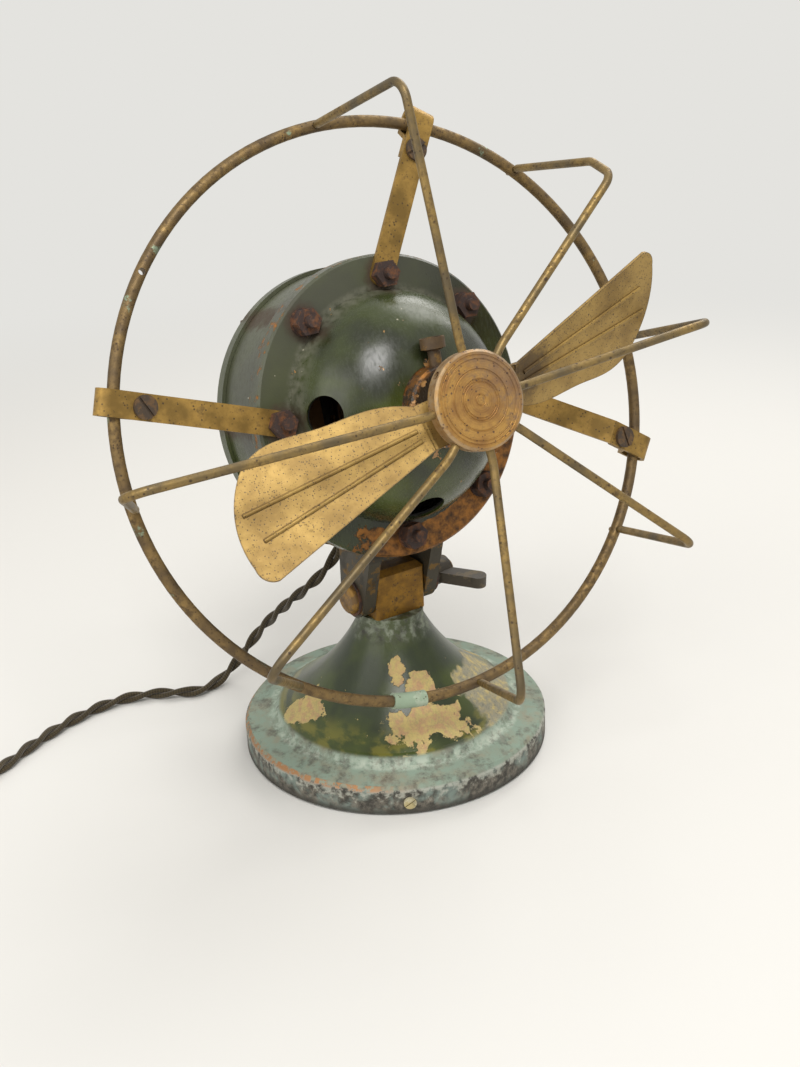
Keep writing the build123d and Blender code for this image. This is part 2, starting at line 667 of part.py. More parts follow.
def blade_outline():
    """Outline of a blade from its neck: straight front edge, round corner and tip, hollow rear edge."""
    Polyline((-LAP, -NECK_HALF), (-LAP, NECK_HALF), (0, NECK_HALF), BLADE_CORNER)
    ThreePointArc(BLADE_CORNER, BLADE_NOSE, BLADE_SHOULDER)
    ThreePointArc(BLADE_SHOULDER, BLADE_TIP, BLADE_TIP_END)
    Spline(BLADE_TIP_END, *BLADE_BELLY, (0, -NECK_HALF))
    Line((0, -NECK_HALF), (-LAP, -NECK_HALF))


with BuildPart() as propeller:
    with BuildSketch(MOTOR.offset(PLATE_FACE)):
        Circle(PLATE_RADIUS)
    extrude(amount=PLATE_THICK)
    for turn, pitch, rake in BLADES:
        blade = blade_plane(turn, pitch, rake)
        outward = spoke(MOTOR, turn)
        root = motor_centre + ahead * (PLATE_FACE + PLATE_THICK / 2) + outward * NECK_START
        with BuildSketch(Plane(origin=root, x_dir=ahead.cross(outward), z_dir=outward)):
            Rectangle(2 * NECK_HALF, NECK_THICK)
        neck_end = blade.origin + blade.z_dir * (PLATE_THICK / 2)
        with BuildSketch(Plane(origin=neck_end, x_dir=blade.y_dir, z_dir=blade.x_dir)):
            Rectangle(2 * NECK_HALF + 2 * SLIP_FIT, NECK_THICK)
        loft(ruled=True)
        with BuildSketch(blade):
            with BuildLine():
                blade_outline()
            make_face()
        extrude(amount=PLATE_THICK)
        for rib_start, rib_end in RIBS:
            first = blade.from_local_coords(Vector(*rib_start, PLATE_THICK))
            last = blade.from_local_coords(Vector(*rib_end, PLATE_THICK))
            with BuildSketch(Plane(origin=first, z_dir=last - first)):
                Circle(RIB_RADIUS)
            extrude(amount=(last - first).length)
    with BuildSketch(MOTOR.offset(PLATE_FACE)):
        Circle(SHAFT_RADIUS + RUN_FIT)
    extrude(amount=PLATE_THICK, both=True, mode=Mode.SUBTRACT)

# ================================================================= guard
hub_rear = HUB_FRONT - HUB_THICK
socket_height = (HUB_FRONT + hub_rear) / 2
hub_angles = {number: HUB_PHASE + 360 / WIRE_COUNT * (3 - number) for number in range(1, WIRE_COUNT + 1)}

ring_hole_angles = [ring_angle for ring_angle, bend_radius, bend_angle in WIRES.values()] + [EMPTY_HOLE]

with BuildPart() as guard_ring:
    with BuildSketch(GUARD_HALF):
        with Locations((RING_RADIUS, RING_HEIGHT)):
            Circle(RING_ROD)
    revolve(axis=GUARD_AXIS)
    with BuildSketch(GUARD.offset(RING_HEIGHT)):
        for hole_angle in ring_hole_angles:
            with PolarLocations(RING_RADIUS, 1, start_angle=hole_angle):
                Circle(WIRE_TIP_RADIUS + 2 * SLIP_FIT)
    extrude(amount=2 * RING_ROD, both=True, mode=Mode.SUBTRACT)

with BuildPart() as ring_ferrule:
    ferrule_start = Plane(
        origin=guard_centre,
        x_dir=spoke(GUARD, FERRULE_ANGLE - FERRULE_HALF),
        z_dir=-guard_ahead.cross(spoke(GUARD, FERRULE_ANGLE - FERRULE_HALF)),
    )
    with BuildSketch(ferrule_start):
        with Locations((RING_RADIUS, RING_HEIGHT)):
            Circle(RING_ROD + RUN_FIT + FERRULE_WALL)
            Circle(RING_ROD + RUN_FIT, mode=Mode.SUBTRACT)
    revolve(axis=GUARD_AXIS, revolution_arc=2 * FERRULE_HALF)

with BuildPart() as guard_hub:
    with BuildSketch(GUARD_HALF):
        with BuildLine():
            Polyline(
                (0, hub_rear), (HUB_RADIUS - RIM_EDGE, hub_rear), (HUB_RADIUS, hub_rear + RIM_EDGE),
                (HUB_RADIUS, HUB_FRONT - RIM_EDGE), (HUB_RADIUS - RIM_EDGE, HUB_FRONT),
                (0, HUB_FRONT), close=True,
            )
        make_face()
        for groove in HUB_GROOVES:
            with Locations((groove, HUB_FRONT)):
                Circle(GROOVE_RADIUS, mode=Mode.SUBTRACT)
    revolve(axis=GUARD_AXIS)
    for hub_angle in hub_angles.values():
        socket_place = polar(GUARD, HUB_RADIUS - SOCKET_DEPTH, hub_angle, socket_height)
        with BuildSketch(Plane(origin=socket_place, z_dir=spoke(GUARD, hub_angle))):
            Circle(SOCKET_RADIUS)
        extrude(amount=2 * SOCKET_DEPTH, mode=Mode.SUBTRACT)


def guard_wire(number):
    """One bent guard wire, from the bottom of its hub socket to its thin tip behind the ring."""
    ring_angle, bend_radius, bend_angle = WIRES[number]
    hub_angle = hub_angles[number]
    start = polar(GUARD, HUB_RADIUS - SOCKET_DEPTH + SLIP_FIT, hub_angle, socket_height)
    leave = polar(GUARD, HUB_RADIUS + SOCKET_DEPTH, hub_angle, socket_height)
    shoulder = polar(GUARD, bend_radius, bend_angle, WIRE_SHOULDER)
    heel = polar(GUARD, RING_RADIUS, ring_angle, RING_HEIGHT + RING_ROD + WIRE_RADIUS + SIDE_GAP)
    kinks = [polar(GUARD, *KINKS[number])] if number in KINKS else []
    bends = [WIRE_SWING, WIRE_BEND] + [KINK_BEND for kink in kinks]
    with BuildPart() as wire:
        with BuildLine() as route:
            FilletPolyline(start, leave, shoulder, *kinks, heel, radius=bends)
        with BuildSketch(Plane(origin=start, z_dir=leave - start)):
            Circle(WIRE_RADIUS)
        sweep(path=route.line)
        with Locations(heel):
            Sphere(WIRE_RADIUS)
        with BuildSketch(Plane(origin=heel, z_dir=-guard_ahead)):
            Circle(WIRE_TIP_RADIUS)
        extrude(amount=WIRE_RADIUS + SIDE_GAP + 2 * RING_ROD + WIRE_STUB)
    return wire


guard_wires = {f"guard_wire_{number}": guard_wire(number) for number in WIRES}

# ================================================================= guard straps


def strap_frame(name):
    """A strap's plane, from its stud at the flange: X towards the ring, Y ahead; and the ring's place."""
    foot = polar(MOTOR, stud_circle, strap_stud(STRAPS[name]), 0)
    far = polar(GUARD, RING_RADIUS, STRAPS[name], RING_HEIGHT) - foot
    along = far - ahead * far.dot(ahead)
    frame = Plane(origin=foot, x_dir=along.normalized(), z_dir=along.normalized().cross(ahead))
    return frame, along.length, far.dot(ahead)


def strap(name):
    """Flat bar: eye under the stud's nut, slope to the ring, fold round the rod and back under itself."""
    frame, reach, rise = strap_frame(name)
    mid = STRAP_THICK / 2
    back_leaf = rise + STRAP_FOLD - STRAP_THICK - RUN_FIT
    fold_end = reach + STRAP_REACH
    clamp = reach - CLAMP_INSET
    with BuildPart() as bar:
        with BuildSketch(frame):
            with BuildLine() as bend:
                Polyline(
                    (-STRAP_EYE, mid), (STRAP_FLAT + mid, mid),
                    (clamp - CLAMP_HEAD - STRAP_THICK, rise + STRAP_FOLD),
                    (fold_end, rise + STRAP_FOLD),
                )
                over, under = (fold_end, rise + STRAP_FOLD), (fold_end, rise - STRAP_FOLD)
                ThreePointArc(over, (fold_end + STRAP_FOLD, rise), under)
                Polyline(
                    under, (reach - STRAP_REACH - RIM_EDGE, rise - STRAP_FOLD),
                    (clamp + CLAMP_SCREW + STRAP_HEM, back_leaf), (clamp - CLAMP_HEAD, back_leaf),
                )
            trace(line_width=STRAP_THICK)
        extrude(amount=STRAP_WIDTH / 2, both=True)
        fillet(
            bar.edges().filter_by(Axis(frame.origin, ahead)).group_by(Axis(frame.origin, frame.x_dir))[0],
            STRAP_WIDTH / 2 - RIM_EDGE,
        )
        with BuildSketch(Plane(origin=frame.origin, z_dir=ahead)):
            Circle(STUD_RADIUS + SLIP_FIT)
        extrude(amount=STRAP_THICK, mode=Mode.SUBTRACT)
        clamp_place = frame.from_local_coords(Vector(clamp, rise))
        with BuildSketch(Plane(origin=clamp_place, z_dir=ahead)):
            Circle(CLAMP_SCREW + RUN_FIT)
        extrude(amount=2 * STRAP_FOLD, mode=Mode.SUBTRACT)
    return bar


straps = {name: strap(name) for name in STRAPS}

with BuildPart() as strap_screws:
    for name in STRAPS:
        frame, reach, rise = strap_frame(name)
        seat = frame.from_local_coords(Vector(reach - CLAMP_INSET, rise + STRAP_FOLD + STRAP_THICK / 2))
        with BuildSketch(Plane(origin=seat, z_dir=ahead)):
            Circle(CLAMP_HEAD)
        extrude(amount=STRAP_THICK)
        with BuildSketch(Plane(origin=seat, z_dir=ahead)):
            Circle(CLAMP_SCREW)
        extrude(amount=-(2 * STRAP_THICK + CLAMP_HEAD))
        slot_dir = frame.x_dir + frame.z_dir
        with BuildSketch(Plane(origin=seat + ahead * STRAP_THICK, x_dir=slot_dir, z_dir=ahead)):
            Rectangle(3 * CLAMP_HEAD, RIM_EDGE)
        extrude(amount=-STRAP_THICK / 2, mode=Mode.SUBTRACT)

with BuildPart() as strap_nuts:
    for name in STRAPS:
        frame, reach, rise = strap_frame(name)
        underside = rise + STRAP_FOLD - STRAP_THICK * 1.5 - RUN_FIT
        nut_seat = frame.from_local_coords(Vector(reach - CLAMP_INSET, underside))
        with BuildSketch(Plane(origin=nut_seat, z_dir=ahead)):
            RegularPolygon(CLAMP_NUT, 6)
            Circle(CLAMP_SCREW + RUN_FIT, mode=Mode.SUBTRACT)
        extrude(amount=-2 * RIM_EDGE)

# ================================================================= tilt fork and its pivot
lug_inside = BLOCK_WIDTH / 2 + SIDE_GAP
lug_outside = lug_inside + LUG_THICK
pad_rise = axis_above_pivot - (DRUM_RADIUS**2 - lug_outside**2) ** 0.5 + RIM_EDGE
pad_middle = -(PAD_FRONT + PAD_REAR) / 2 - FACE_BEFORE_PIVOT
pad_length = PAD_FRONT - PAD_REAR


def beside_pivot(distance):
    """Upright plane beside the pivot, square to the pivot's bolt: X to the rear, Y towards the motor."""
    return Plane(origin=pivot + right * distance, x_dir=-ahead, z_dir=right)


with BuildPart() as tilt_fork:
    for lug_start in (-lug_outside, lug_inside):
        with BuildSketch(beside_pivot(lug_start)):
            Circle(LUG_RADIUS)
            with Locations((pad_middle, (PAD_UNDERSIDE + pad_rise) / 2)):
                Rectangle(pad_length, pad_rise - PAD_UNDERSIDE)
            make_hull()
        extrude(amount=LUG_THICK)
    with BuildSketch(beside_pivot(-lug_outside)):
        with Locations((pad_middle, (PAD_UNDERSIDE + pad_rise) / 2)):
            Rectangle(pad_length, pad_rise - PAD_UNDERSIDE)
    extrude(amount=2 * lug_outside)
    with BuildSketch(MOTOR.offset(drum_rear)):
        Circle(DRUM_RADIUS + PAD_OUTSET)
    extrude(amount=DRUM_LENGTH, mode=Mode.SUBTRACT)
    with BuildSketch(beside_pivot(-lug_outside)):
        Circle(BOLT_RADIUS + SLIP_FIT)
    extrude(amount=2 * lug_outside, mode=Mode.SUBTRACT)
    for across in (-PAD_SCREW_SPREAD, PAD_SCREW_SPREAD):
        for height in pad_screw_heights:
            under = motor_centre + ahead * height + right * across
            head_depth = axis_above_pivot - PAD_UNDERSIDE - 2 * RIM_EDGE
            with BuildSketch(Plane(origin=under, z_dir=-upward)):
                Circle(PAD_SCREW + RUN_FIT)
            extrude(amount=axis_above_pivot, mode=Mode.SUBTRACT)
            with BuildSketch(Plane(origin=under - upward * head_depth, z_dir=-upward)):
                Circle(PAD_SCREW_HEAD + SLIP_FIT)
            extrude(amount=PAD_UNDERSIDE, mode=Mode.SUBTRACT)

with BuildPart() as fork_screws:
    for across in (-PAD_SCREW_SPREAD, PAD_SCREW_SPREAD):
        for height in pad_screw_heights:
            screw_drop = DRUM_RADIUS - DRUM_WALL + SLIP_FIT
            tip = motor_centre + ahead * height + right * across - upward * screw_drop
            shank = axis_above_pivot - PAD_UNDERSIDE - 2 * RIM_EDGE - (DRUM_RADIUS - DRUM_WALL + SLIP_FIT)
            with BuildSketch(Plane(origin=tip, z_dir=-upward)):
                Circle(PAD_SCREW)
            extrude(amount=shank)
            with BuildSketch(Plane(origin=tip - upward * shank, z_dir=-upward)):
                Circle(PAD_SCREW_HEAD)
            extrude(amount=2 * RIM_EDGE - SLIP_FIT)

bolt_left = -(lug_outside + LEFT_WASHER)
nut_start = lug_outside + RIGHT_WASHER
bolt_right = nut_start + NUT_HUB_LENGTH + 2 * RIM_EDGE

with BuildPart() as tilt_bolt:
    with BuildSketch(beside_pivot(bolt_left)):
        Circle(BOLT_RADIUS)
    extrude(amount=bolt_right - bolt_left)
    with BuildSketch(beside_pivot(bolt_left)):
        Circle(BOLT_HEAD_RADIUS)
    extrude(amount=-BOLT_HEAD_THICK)
    fillet(tilt_bolt.edges().filter_by(GeomType.CIRCLE).sort_by(Axis.X)[0], BOLT_HEAD_THICK * 0.7)
    chamfer(tilt_bolt.edges().filter_by(GeomType.CIRCLE).sort_by(Axis.X)[-1], RIM_EDGE / 2)

with BuildPart() as lug_washers:
    for washer_start, washer_thick in ((bolt_left, LEFT_WASHER), (lug_outside, RIGHT_WASHER)):
        with BuildSketch(beside_pivot(washer_start)):
            Circle(LUG_WASHER_RADIUS)
            Circle(BOLT_RADIUS + SLIP_FIT, mode=Mode.SUBTRACT)
        extrude(amount=washer_thick)

with BuildPart() as wing_nut:
    wing_plane = Plane(
        origin=pivot, x_dir=right, z_dir=(0, -sin(radians(WING_TURN)), cos(radians(WING_TURN)))
    )
    with BuildSketch(beside_pivot(nut_start)):
        Circle(NUT_HUB_RADIUS)
    extrude(amount=NUT_HUB_LENGTH, taper=4)
    for side in (-1, 1):
        with BuildSketch(wing_plane):
            with Locations((WING_TIP[0], side * WING_TIP[1])):
                Circle(WING_TIP_RADIUS)
            root_along = nut_start + NUT_HUB_LENGTH * WING_ROOT_ALONG
            with Locations((root_along, side * NUT_HUB_RADIUS * WING_ROOT_ACROSS)):
                Circle(NUT_HUB_LENGTH * WING_ROOT_RADIUS)
            make_hull()
        extrude(amount=WING_THICK / 2, both=True)
    with BuildSketch(beside_pivot(nut_start)):
        Circle(BOLT_RADIUS + RUN_FIT)
    extrude(amount=2 * NUT_HUB_LENGTH, both=True, mode=Mode.SUBTRACT)

# ================================================================= base
neck_top = PIVOT_HEIGHT - BLOCK_BELOW
rim_top = (BASE_RADIUS - RIM_INSET, RIM_HEIGHT + RIM_EDGE)
band = (BASE_RADIUS - BAND_INSET, BAND_HEIGHT)
step_top = (BASE_RADIUS - STEP_INSET, STEP_HEIGHT)
trumpet_foot = (BASE_RADIUS - FOOT_INSET, FOOT_HEIGHT)
trumpet_top = (NECK_RADIUS, neck_top - COLLAR_BELOW_BLOCK)
stud_bore = BOLT_RADIUS + SLIP_FIT
inner_wall = WALL_LEAN * BASE_WALL
inner_top = (trumpet_top[0] - BASE_WALL, trumpet_top[1] - BASE_WALL)
inner_middle = (TRUMPET_MIDDLE[0] - inner_wall, TRUMPET_MIDDLE[1] - inner_wall)
inner_foot = (trumpet_foot[0] - BASE_WALL, trumpet_foot[1] - inner_wall)

screw_angles = [RIM_SCREW_PHASE + 360 / RIM_SCREW_COUNT * step for step in range(RIM_SCREW_COUNT)]
screw_planes = [
    Plane(origin=(0, 0, RIM_SCREW_HEIGHT), z_dir=spoke(Plane.XY, angle)) for angle in screw_angles
]

with BuildPart() as base_shell:
    with BuildSketch(Plane.XZ):
        with BuildLine():
            Polyline(
                (BASE_RADIUS - BASE_WALL, RIM_LIFT), (BASE_RADIUS, RIM_LIFT),
                (BASE_RADIUS, RIM_HEIGHT - RIM_EDGE), rim_top, band, step_top, trumpet_foot,
            )
            ThreePointArc(trumpet_foot, TRUMPET_MIDDLE, trumpet_top)
            Polyline(
                trumpet_top, (NECK_RADIUS, neck_top), (stud_bore, neck_top),
                (stud_bore, neck_top - 2 * BASE_WALL), inner_top,
            )
            ThreePointArc(inner_top, inner_middle, inner_foot)
            Polyline(
                inner_foot, (step_top[0] - BASE_WALL, step_top[1] - inner_wall),
                (band[0] - BASE_WALL, band[1] - BASE_WALL),
                (rim_top[0] - BASE_WALL, rim_top[1] - BASE_WALL),
                (BASE_RADIUS - BASE_WALL, RIM_HEIGHT - RIM_EDGE - BASE_WALL),
                (BASE_RADIUS - BASE_WALL, RIM_LIFT),
            )
        make_face()
    revolve(axis=BASE_AXIS)
    for screw_turn in screw_planes:
        with BuildSketch(screw_turn):
            Circle(RIM_SCREW_RADIUS + RUN_FIT)
        extrude(amount=2 * BASE_RADIUS, mode=Mode.SUBTRACT)

weight_radius = BASE_RADIUS - BASE_WALL - SLIP_FIT
screw_reach = weight_radius - RIM_SCREW_BITE

with BuildPart() as base_weight:
    with BuildSketch(Plane.XZ):
        with BuildLine():
            Polyline(
                (stud_bore, FELT_THICK), (weight_radius, FELT_THICK),
                (weight_radius, FELT_THICK + WEIGHT_EDGE),
                (band[0] - WEIGHT_SHOULDER, band[1] - 2 * BASE_WALL), (NECK_RADIUS, WEIGHT_CENTRE),
                (stud_bore, WEIGHT_CENTRE), close=True,
            )
        make_face()
    revolve(axis=BASE_AXIS)
    with BuildSketch(Plane.XY.offset(FELT_THICK)):
        Circle(hexagon_radius(POST_NUT_FLATS) + RIM_EDGE)
    extrude(amount=POST_NUT_HEIGHT + SIDE_GAP, mode=Mode.SUBTRACT)
    for screw_turn in screw_planes:
        with BuildSketch(screw_turn.offset(screw_reach)):
            Circle(RIM_SCREW_RADIUS + RUN_FIT)
        extrude(amount=BASE_RADIUS, mode=Mode.SUBTRACT)

with BuildPart() as rim_screws:
    for screw_turn in screw_planes:
        with BuildSketch(screw_turn.offset(screw_reach + SIDE_GAP)):
            Circle(RIM_SCREW_RADIUS)
        extrude(amount=BASE_RADIUS - screw_reach)
        with BuildSketch(screw_turn.offset(BASE_RADIUS + RUN_FIT)):
            Circle(RIM_SCREW_HEAD)
            Rectangle(3 * RIM_SCREW_HEAD, RIM_EDGE / 2, rotation=RIM_SLOT_TURN, mode=Mode.SUBTRACT)
        extrude(amount=RIM_EDGE)

with BuildPart() as felt_pad:
    with BuildSketch(Plane.XY):
        Circle(BASE_RADIUS - BASE_WALL - FELT_INSET)
    extrude(amount=FELT_THICK)

stud_top = neck_top + STUD_HEIGHT_IN_BLOCK
nut_seat = FELT_THICK + POST_NUT_HEIGHT + SIDE_GAP

with BuildPart() as post_block:
    with BuildSketch(Plane.XY.offset(neck_top)):
        Rectangle(BLOCK_WIDTH, BLOCK_DEPTH)
    extrude(amount=BLOCK_BELOW + BLOCK_ABOVE)
    chamfer(post_block.faces().sort_by(Axis.Z)[-1].edges(), BLOCK_TOP_CHAMFER)
    chamfer(post_block.edges().filter_by(Axis.Z), RIM_EDGE)
    with BuildSketch(beside_pivot(-BLOCK_WIDTH)):
        Circle(BOLT_RADIUS + RUN_FIT)
    extrude(amount=2 * BLOCK_WIDTH, mode=Mode.SUBTRACT)
    with BuildSketch(Plane.XY.offset(neck_top)):
        Circle(BOLT_RADIUS + RUN_FIT)
    extrude(amount=STUD_HEIGHT_IN_BLOCK + SLIP_FIT, mode=Mode.SUBTRACT)

with BuildPart() as post_stud:
    with BuildSketch(Plane.XY.offset(FELT_THICK + RIM_EDGE)):
        Circle(BOLT_RADIUS)
    extrude(amount=stud_top - FELT_THICK - RIM_EDGE)

with BuildPart() as post_nut:
    with BuildSketch(Plane.XY.offset(nut_seat - POST_NUT_HEIGHT)):
        RegularPolygon(hexagon_radius(POST_NUT_FLATS), 6)
        Circle(BOLT_RADIUS + RUN_FIT, mode=Mode.SUBTRACT)
    extrude(amount=POST_NUT_HEIGHT)

# ================================================================= cord, its coil and its plug
with BuildPart() as cord_bushing:
    bushing_section = Plane(
        origin=bushing_plane.origin,
        x_dir=bushing_plane.x_dir,
        z_dir=bushing_plane.x_dir.cross(bushing_plane.z_dir),
    )
    with BuildSketch(bushing_section):
        with BuildLine():
            Polyline(
                (0, -DOME_WALL - 2 * RIM_EDGE), (BUSHING_RADIUS, -DOME_WALL - 2 * RIM_EDGE),
                (BUSHING_RADIUS, SIDE_GAP), (BUSHING_COLLAR, SIDE_GAP),
                (BUSHING_COLLAR, SIDE_GAP + RIM_EDGE),
                (CORD_RADIUS + 2 * RIM_EDGE, 2 * RIM_EDGE), (CORD_RADIUS + RIM_EDGE / 2, BUSHING_NOSE),
                (0, BUSHING_NOSE), close=True,
            )
        make_face()
    revolve(axis=Axis(bushing_plane.origin, bushing_plane.z_dir))

cord_start = bushing_plane.origin + bushing_plane.z_dir * BUSHING_NOSE
cord_route = [cord_start, cord_start + bushing_plane.z_dir * FIRST_RUN]
cord_route += [Vector(*point) for point in CORD_FALL]
cord_route += [Vector(*point, CORD_LIE) for point in CORD_TABLE]
coil_entry = cord_route[-1]


def bend_radii(points):
    """Largest arc that suits each inner corner of a cord's route."""
    radii = []
    for before, corner, after in zip(points, points[1:], points[2:]):
        shorter = min((corner - before).length, (after - corner).length)
        turn = radians((corner - before).get_angle(after - corner))
        radii.append(0.45 * shorter / tan(turn / 2))
    return radii


def cord_tube(name, points):
    """Round tube along straight runs joined by tangent arcs; prints its radii and checks its volume."""
    radii = bend_radii(points)
    with BuildPart() as tube:
        with BuildLine() as route:
            FilletPolyline(*points, radius=radii)
        with BuildSketch(Plane(origin=points[0], z_dir=points[1] - points[0])):
            Circle(CORD_RADIUS)
        sweep(path=route.line)
    length = route.wires()[0].length
    ideal = length * pi * CORD_RADIUS**2
    print(name, "radii", [round(radius, 1) for radius in radii], "length", round(length, 1))
    print(name, "volume over section times length", round(tube.part.volume / ideal, 4))
    return tube


power_cord = cord_tube("power_cord", cord_route)

travel = (coil_entry - cord_route[-2]).normalized()
inward = Vector(travel.Y, -travel.X, 0)
straight = 2 * CORD_RADIUS
coil_middle_point = coil_entry + travel * straight + inward * COIL_RADIUS
half_turns = 4 * COIL_TURNS_PER_LAYER


def coil_station(step):
    """End of a half turn: the loops spiral in on the table and out again on top of themselves."""
    inner_step = half_turns // 2
    sink = min(step, inner_step) - max(step - inner_step - 1, 0)
    side = -1 if step % 2 else 1
    radius = COIL_RADIUS - sink * COIL_PITCH / 2
    lift = COIL_LAYER if step > inner_step else 0
    return coil_middle_point - inward * (side * radius) + Vector(0, 0, lift)


def half_turn(step):
    """Start, middle and end of a half turn, a half circle in its own plane."""
    first, last = coil_station(step), coil_station(step + 1)
    side = -1 if step % 2 else 1
    return first, (first + last) / 2 + travel * (side * (last - first).length / 2), last


def half_turn_points(step):
    """Points along a half turn, for measuring the coil's gap to itself."""
    first, top, last = half_turn(step)
    middle = (first + last) / 2
    spots = [pi * number / COIL_SAMPLES for number in range(COIL_SAMPLES)]
    return [middle + (first - middle) * cos(spot) + (top - middle) * sin(spot) for spot in spots]


def coil_gap():
    """Least gap between loops of the coil, measured on points a half turn or more apart."""
    track = [spot for step in range(half_turns) for spot in half_turn_points(step)]
    least = min(
        (one - other).length
        for index, one in enumerate(track)
        for other in track[index + COIL_SAMPLES:]
    )
    return least - 2 * CORD_RADIUS


with BuildPart() as cord_coil:
    with BuildLine() as loops:
        Line(coil_entry, coil_station(0))
        for step in range(half_turns):
            ThreePointArc(*half_turn(step))
        coil_exit = coil_station(half_turns) + travel * straight
        Line(coil_station(half_turns), coil_exit)
    with BuildSketch(Plane(origin=coil_entry, z_dir=travel)):
        Circle(CORD_RADIUS)
    sweep(path=loops.line)
coil_length = loops.wires()[0].length
coil_ratio = cord_coil.part.volume / (coil_length * pi * CORD_RADIUS**2)
print("cord_coil length", round(coil_length, 1), "least gap", round(coil_gap(), 2))
print("cord_coil volume over section times length", round(coil_ratio, 4))

plug_travel = (travel - inward * (2 * TAIL_TURN)).normalized()
tail_second = coil_exit + travel * TAIL_RUN
tail_third = tail_second + (travel - inward * TAIL_TURN).normalized() * TAIL_RUN
tail_third += Vector(0, 0, PLUG_RADIUS - tail_third.Z)
plug_entry = tail_third + plug_travel * TAIL_RUN

cord_tail = cord_tube("cord_tail", [coil_exit, tail_second, tail_third, plug_entry])

plug_side = Vector(0, 0, 1).cross(plug_travel)
plug_section = Plane(origin=plug_entry, x_dir=(0, 0, 1), z_dir=plug_side)
plug_front = Plane(origin=plug_entry + plug_travel * PLUG_LENGTH, x_dir=plug_side, z_dir=plug_travel)

with BuildPart() as plug_body:
    with BuildSketch(plug_section):
        with BuildLine():
            sleeve_end = (CORD_RADIUS + 2 * RIM_EDGE, PLUG_SLEEVE)
            flare_end = (PLUG_RADIUS, PLUG_SHOULDER)
            Polyline((0, 0), (CORD_RADIUS + RIM_EDGE, 0), sleeve_end)
            ThreePointArc(sleeve_end, (PLUG_RADIUS - 2 * RIM_EDGE, PLUG_FLARE), flare_end)
            Polyline(
                flare_end, (PLUG_RADIUS, PLUG_LENGTH - RIM_EDGE), (PLUG_RADIUS - RIM_EDGE, PLUG_LENGTH),
                (0, PLUG_LENGTH), (0, 0),
            )
        make_face()
    revolve(axis=Axis(plug_entry, plug_travel))
    with BuildSketch(plug_front):
        with Locations((-PIN_SPREAD / 2, 0), (PIN_SPREAD / 2, 0)):
            Rectangle(PIN_SECTION[1] + 2 * RUN_FIT, PIN_SECTION[0] + 2 * RUN_FIT)
    extrude(amount=-PIN_SEAT, mode=Mode.SUBTRACT)

with BuildPart() as plug_pins:
    with BuildSketch(plug_front.offset(-PIN_SEAT)):
        with Locations((-PIN_SPREAD / 2, 0), (PIN_SPREAD / 2, 0)):
            Rectangle(PIN_SECTION[1], PIN_SECTION[0])
    extrude(amount=PIN_SEAT + PIN_LENGTH)

# ================================================================= labels and files
pieces = {
    "front_shell": front_shell, "motor_drum": motor_drum, "rear_shell": rear_shell,
    "housing_studs": housing_studs, "front_washers": front_washers, "front_nuts": front_nuts,
    "rear_nuts": rear_nuts, "front_bush": front_bush, "rear_bush": rear_bush,
    "front_oil_cup": front_oil_cup, "rear_oil_cup": rear_oil_cup, "field_core": field_core,
    "field_coils": field_coils, "brush_yoke": brush_yoke, "brush_holders": brush_holders,
    "brushes": brushes, "rotor_shaft": rotor_shaft, "armature_core": armature_core,
    "armature_winding": armature_winding, "commutator": commutator,
    "propeller_collar": propeller_collar, "collar_screw": collar_screw, "propeller": propeller,
    "guard_ring": guard_ring, "ring_ferrule": ring_ferrule, "guard_hub": guard_hub,
    "strap_screws": strap_screws, "strap_nuts": strap_nuts, "tilt_fork": tilt_fork,
    "fork_screws": fork_screws, "tilt_bolt": tilt_bolt, "lug_washers": lug_washers,
    "wing_nut": wing_nut, "base_shell": base_shell, "base_weight": base_weight,
    "rim_screws": rim_screws, "felt_pad": felt_pad, "post_block": post_block,
    "post_stud": post_stud, "post_nut": post_nut, "cord_bushing": cord_bushing,
    "power_cord": power_cord, "cord_coil": cord_coil, "cord_tail": cord_tail,
    "plug_body": plug_body, "plug_pins": plug_pins,
} | guard_wires | straps

for name, piece in pieces.items():
    piece.part.label = name
    export_step(piece.part, f"parts/{name}.step")
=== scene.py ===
"""Dress of a small antique desk fan: worn enamel, spotted brass, rust, verdigris and a twisted cord.

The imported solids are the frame. Most of them keep their shape and get a finish here; the cord
and the felt are made again as finer surfaces. Lengths are in metres, and colours are written as
screen values from 0 to 255.
"""
import logging
import math
from collections.abc import Mapping, Sequence
from dataclasses import dataclass
from enum import Enum

import bpy
import numpy as np
from mathutils import Matrix, Vector


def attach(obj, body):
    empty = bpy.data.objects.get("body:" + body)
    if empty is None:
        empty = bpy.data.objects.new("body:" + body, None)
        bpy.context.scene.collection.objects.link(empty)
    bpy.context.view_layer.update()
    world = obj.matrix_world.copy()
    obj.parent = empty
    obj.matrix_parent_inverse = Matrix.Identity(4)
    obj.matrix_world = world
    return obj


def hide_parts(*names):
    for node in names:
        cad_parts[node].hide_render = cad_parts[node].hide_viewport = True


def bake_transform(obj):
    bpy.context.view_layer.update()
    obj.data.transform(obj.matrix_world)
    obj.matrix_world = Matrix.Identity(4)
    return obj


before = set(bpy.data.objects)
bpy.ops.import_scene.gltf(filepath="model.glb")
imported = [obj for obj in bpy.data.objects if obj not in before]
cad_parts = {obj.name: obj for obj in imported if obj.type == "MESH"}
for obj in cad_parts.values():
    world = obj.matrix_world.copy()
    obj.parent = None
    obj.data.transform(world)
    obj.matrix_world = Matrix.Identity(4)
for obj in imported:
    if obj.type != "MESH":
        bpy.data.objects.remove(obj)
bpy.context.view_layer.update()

LOG = logging.getLogger("fan")
MM = 0.001
Colour = tuple[float, float, float, float]
Point = tuple[float, float, float]
Pair = tuple[float, float]


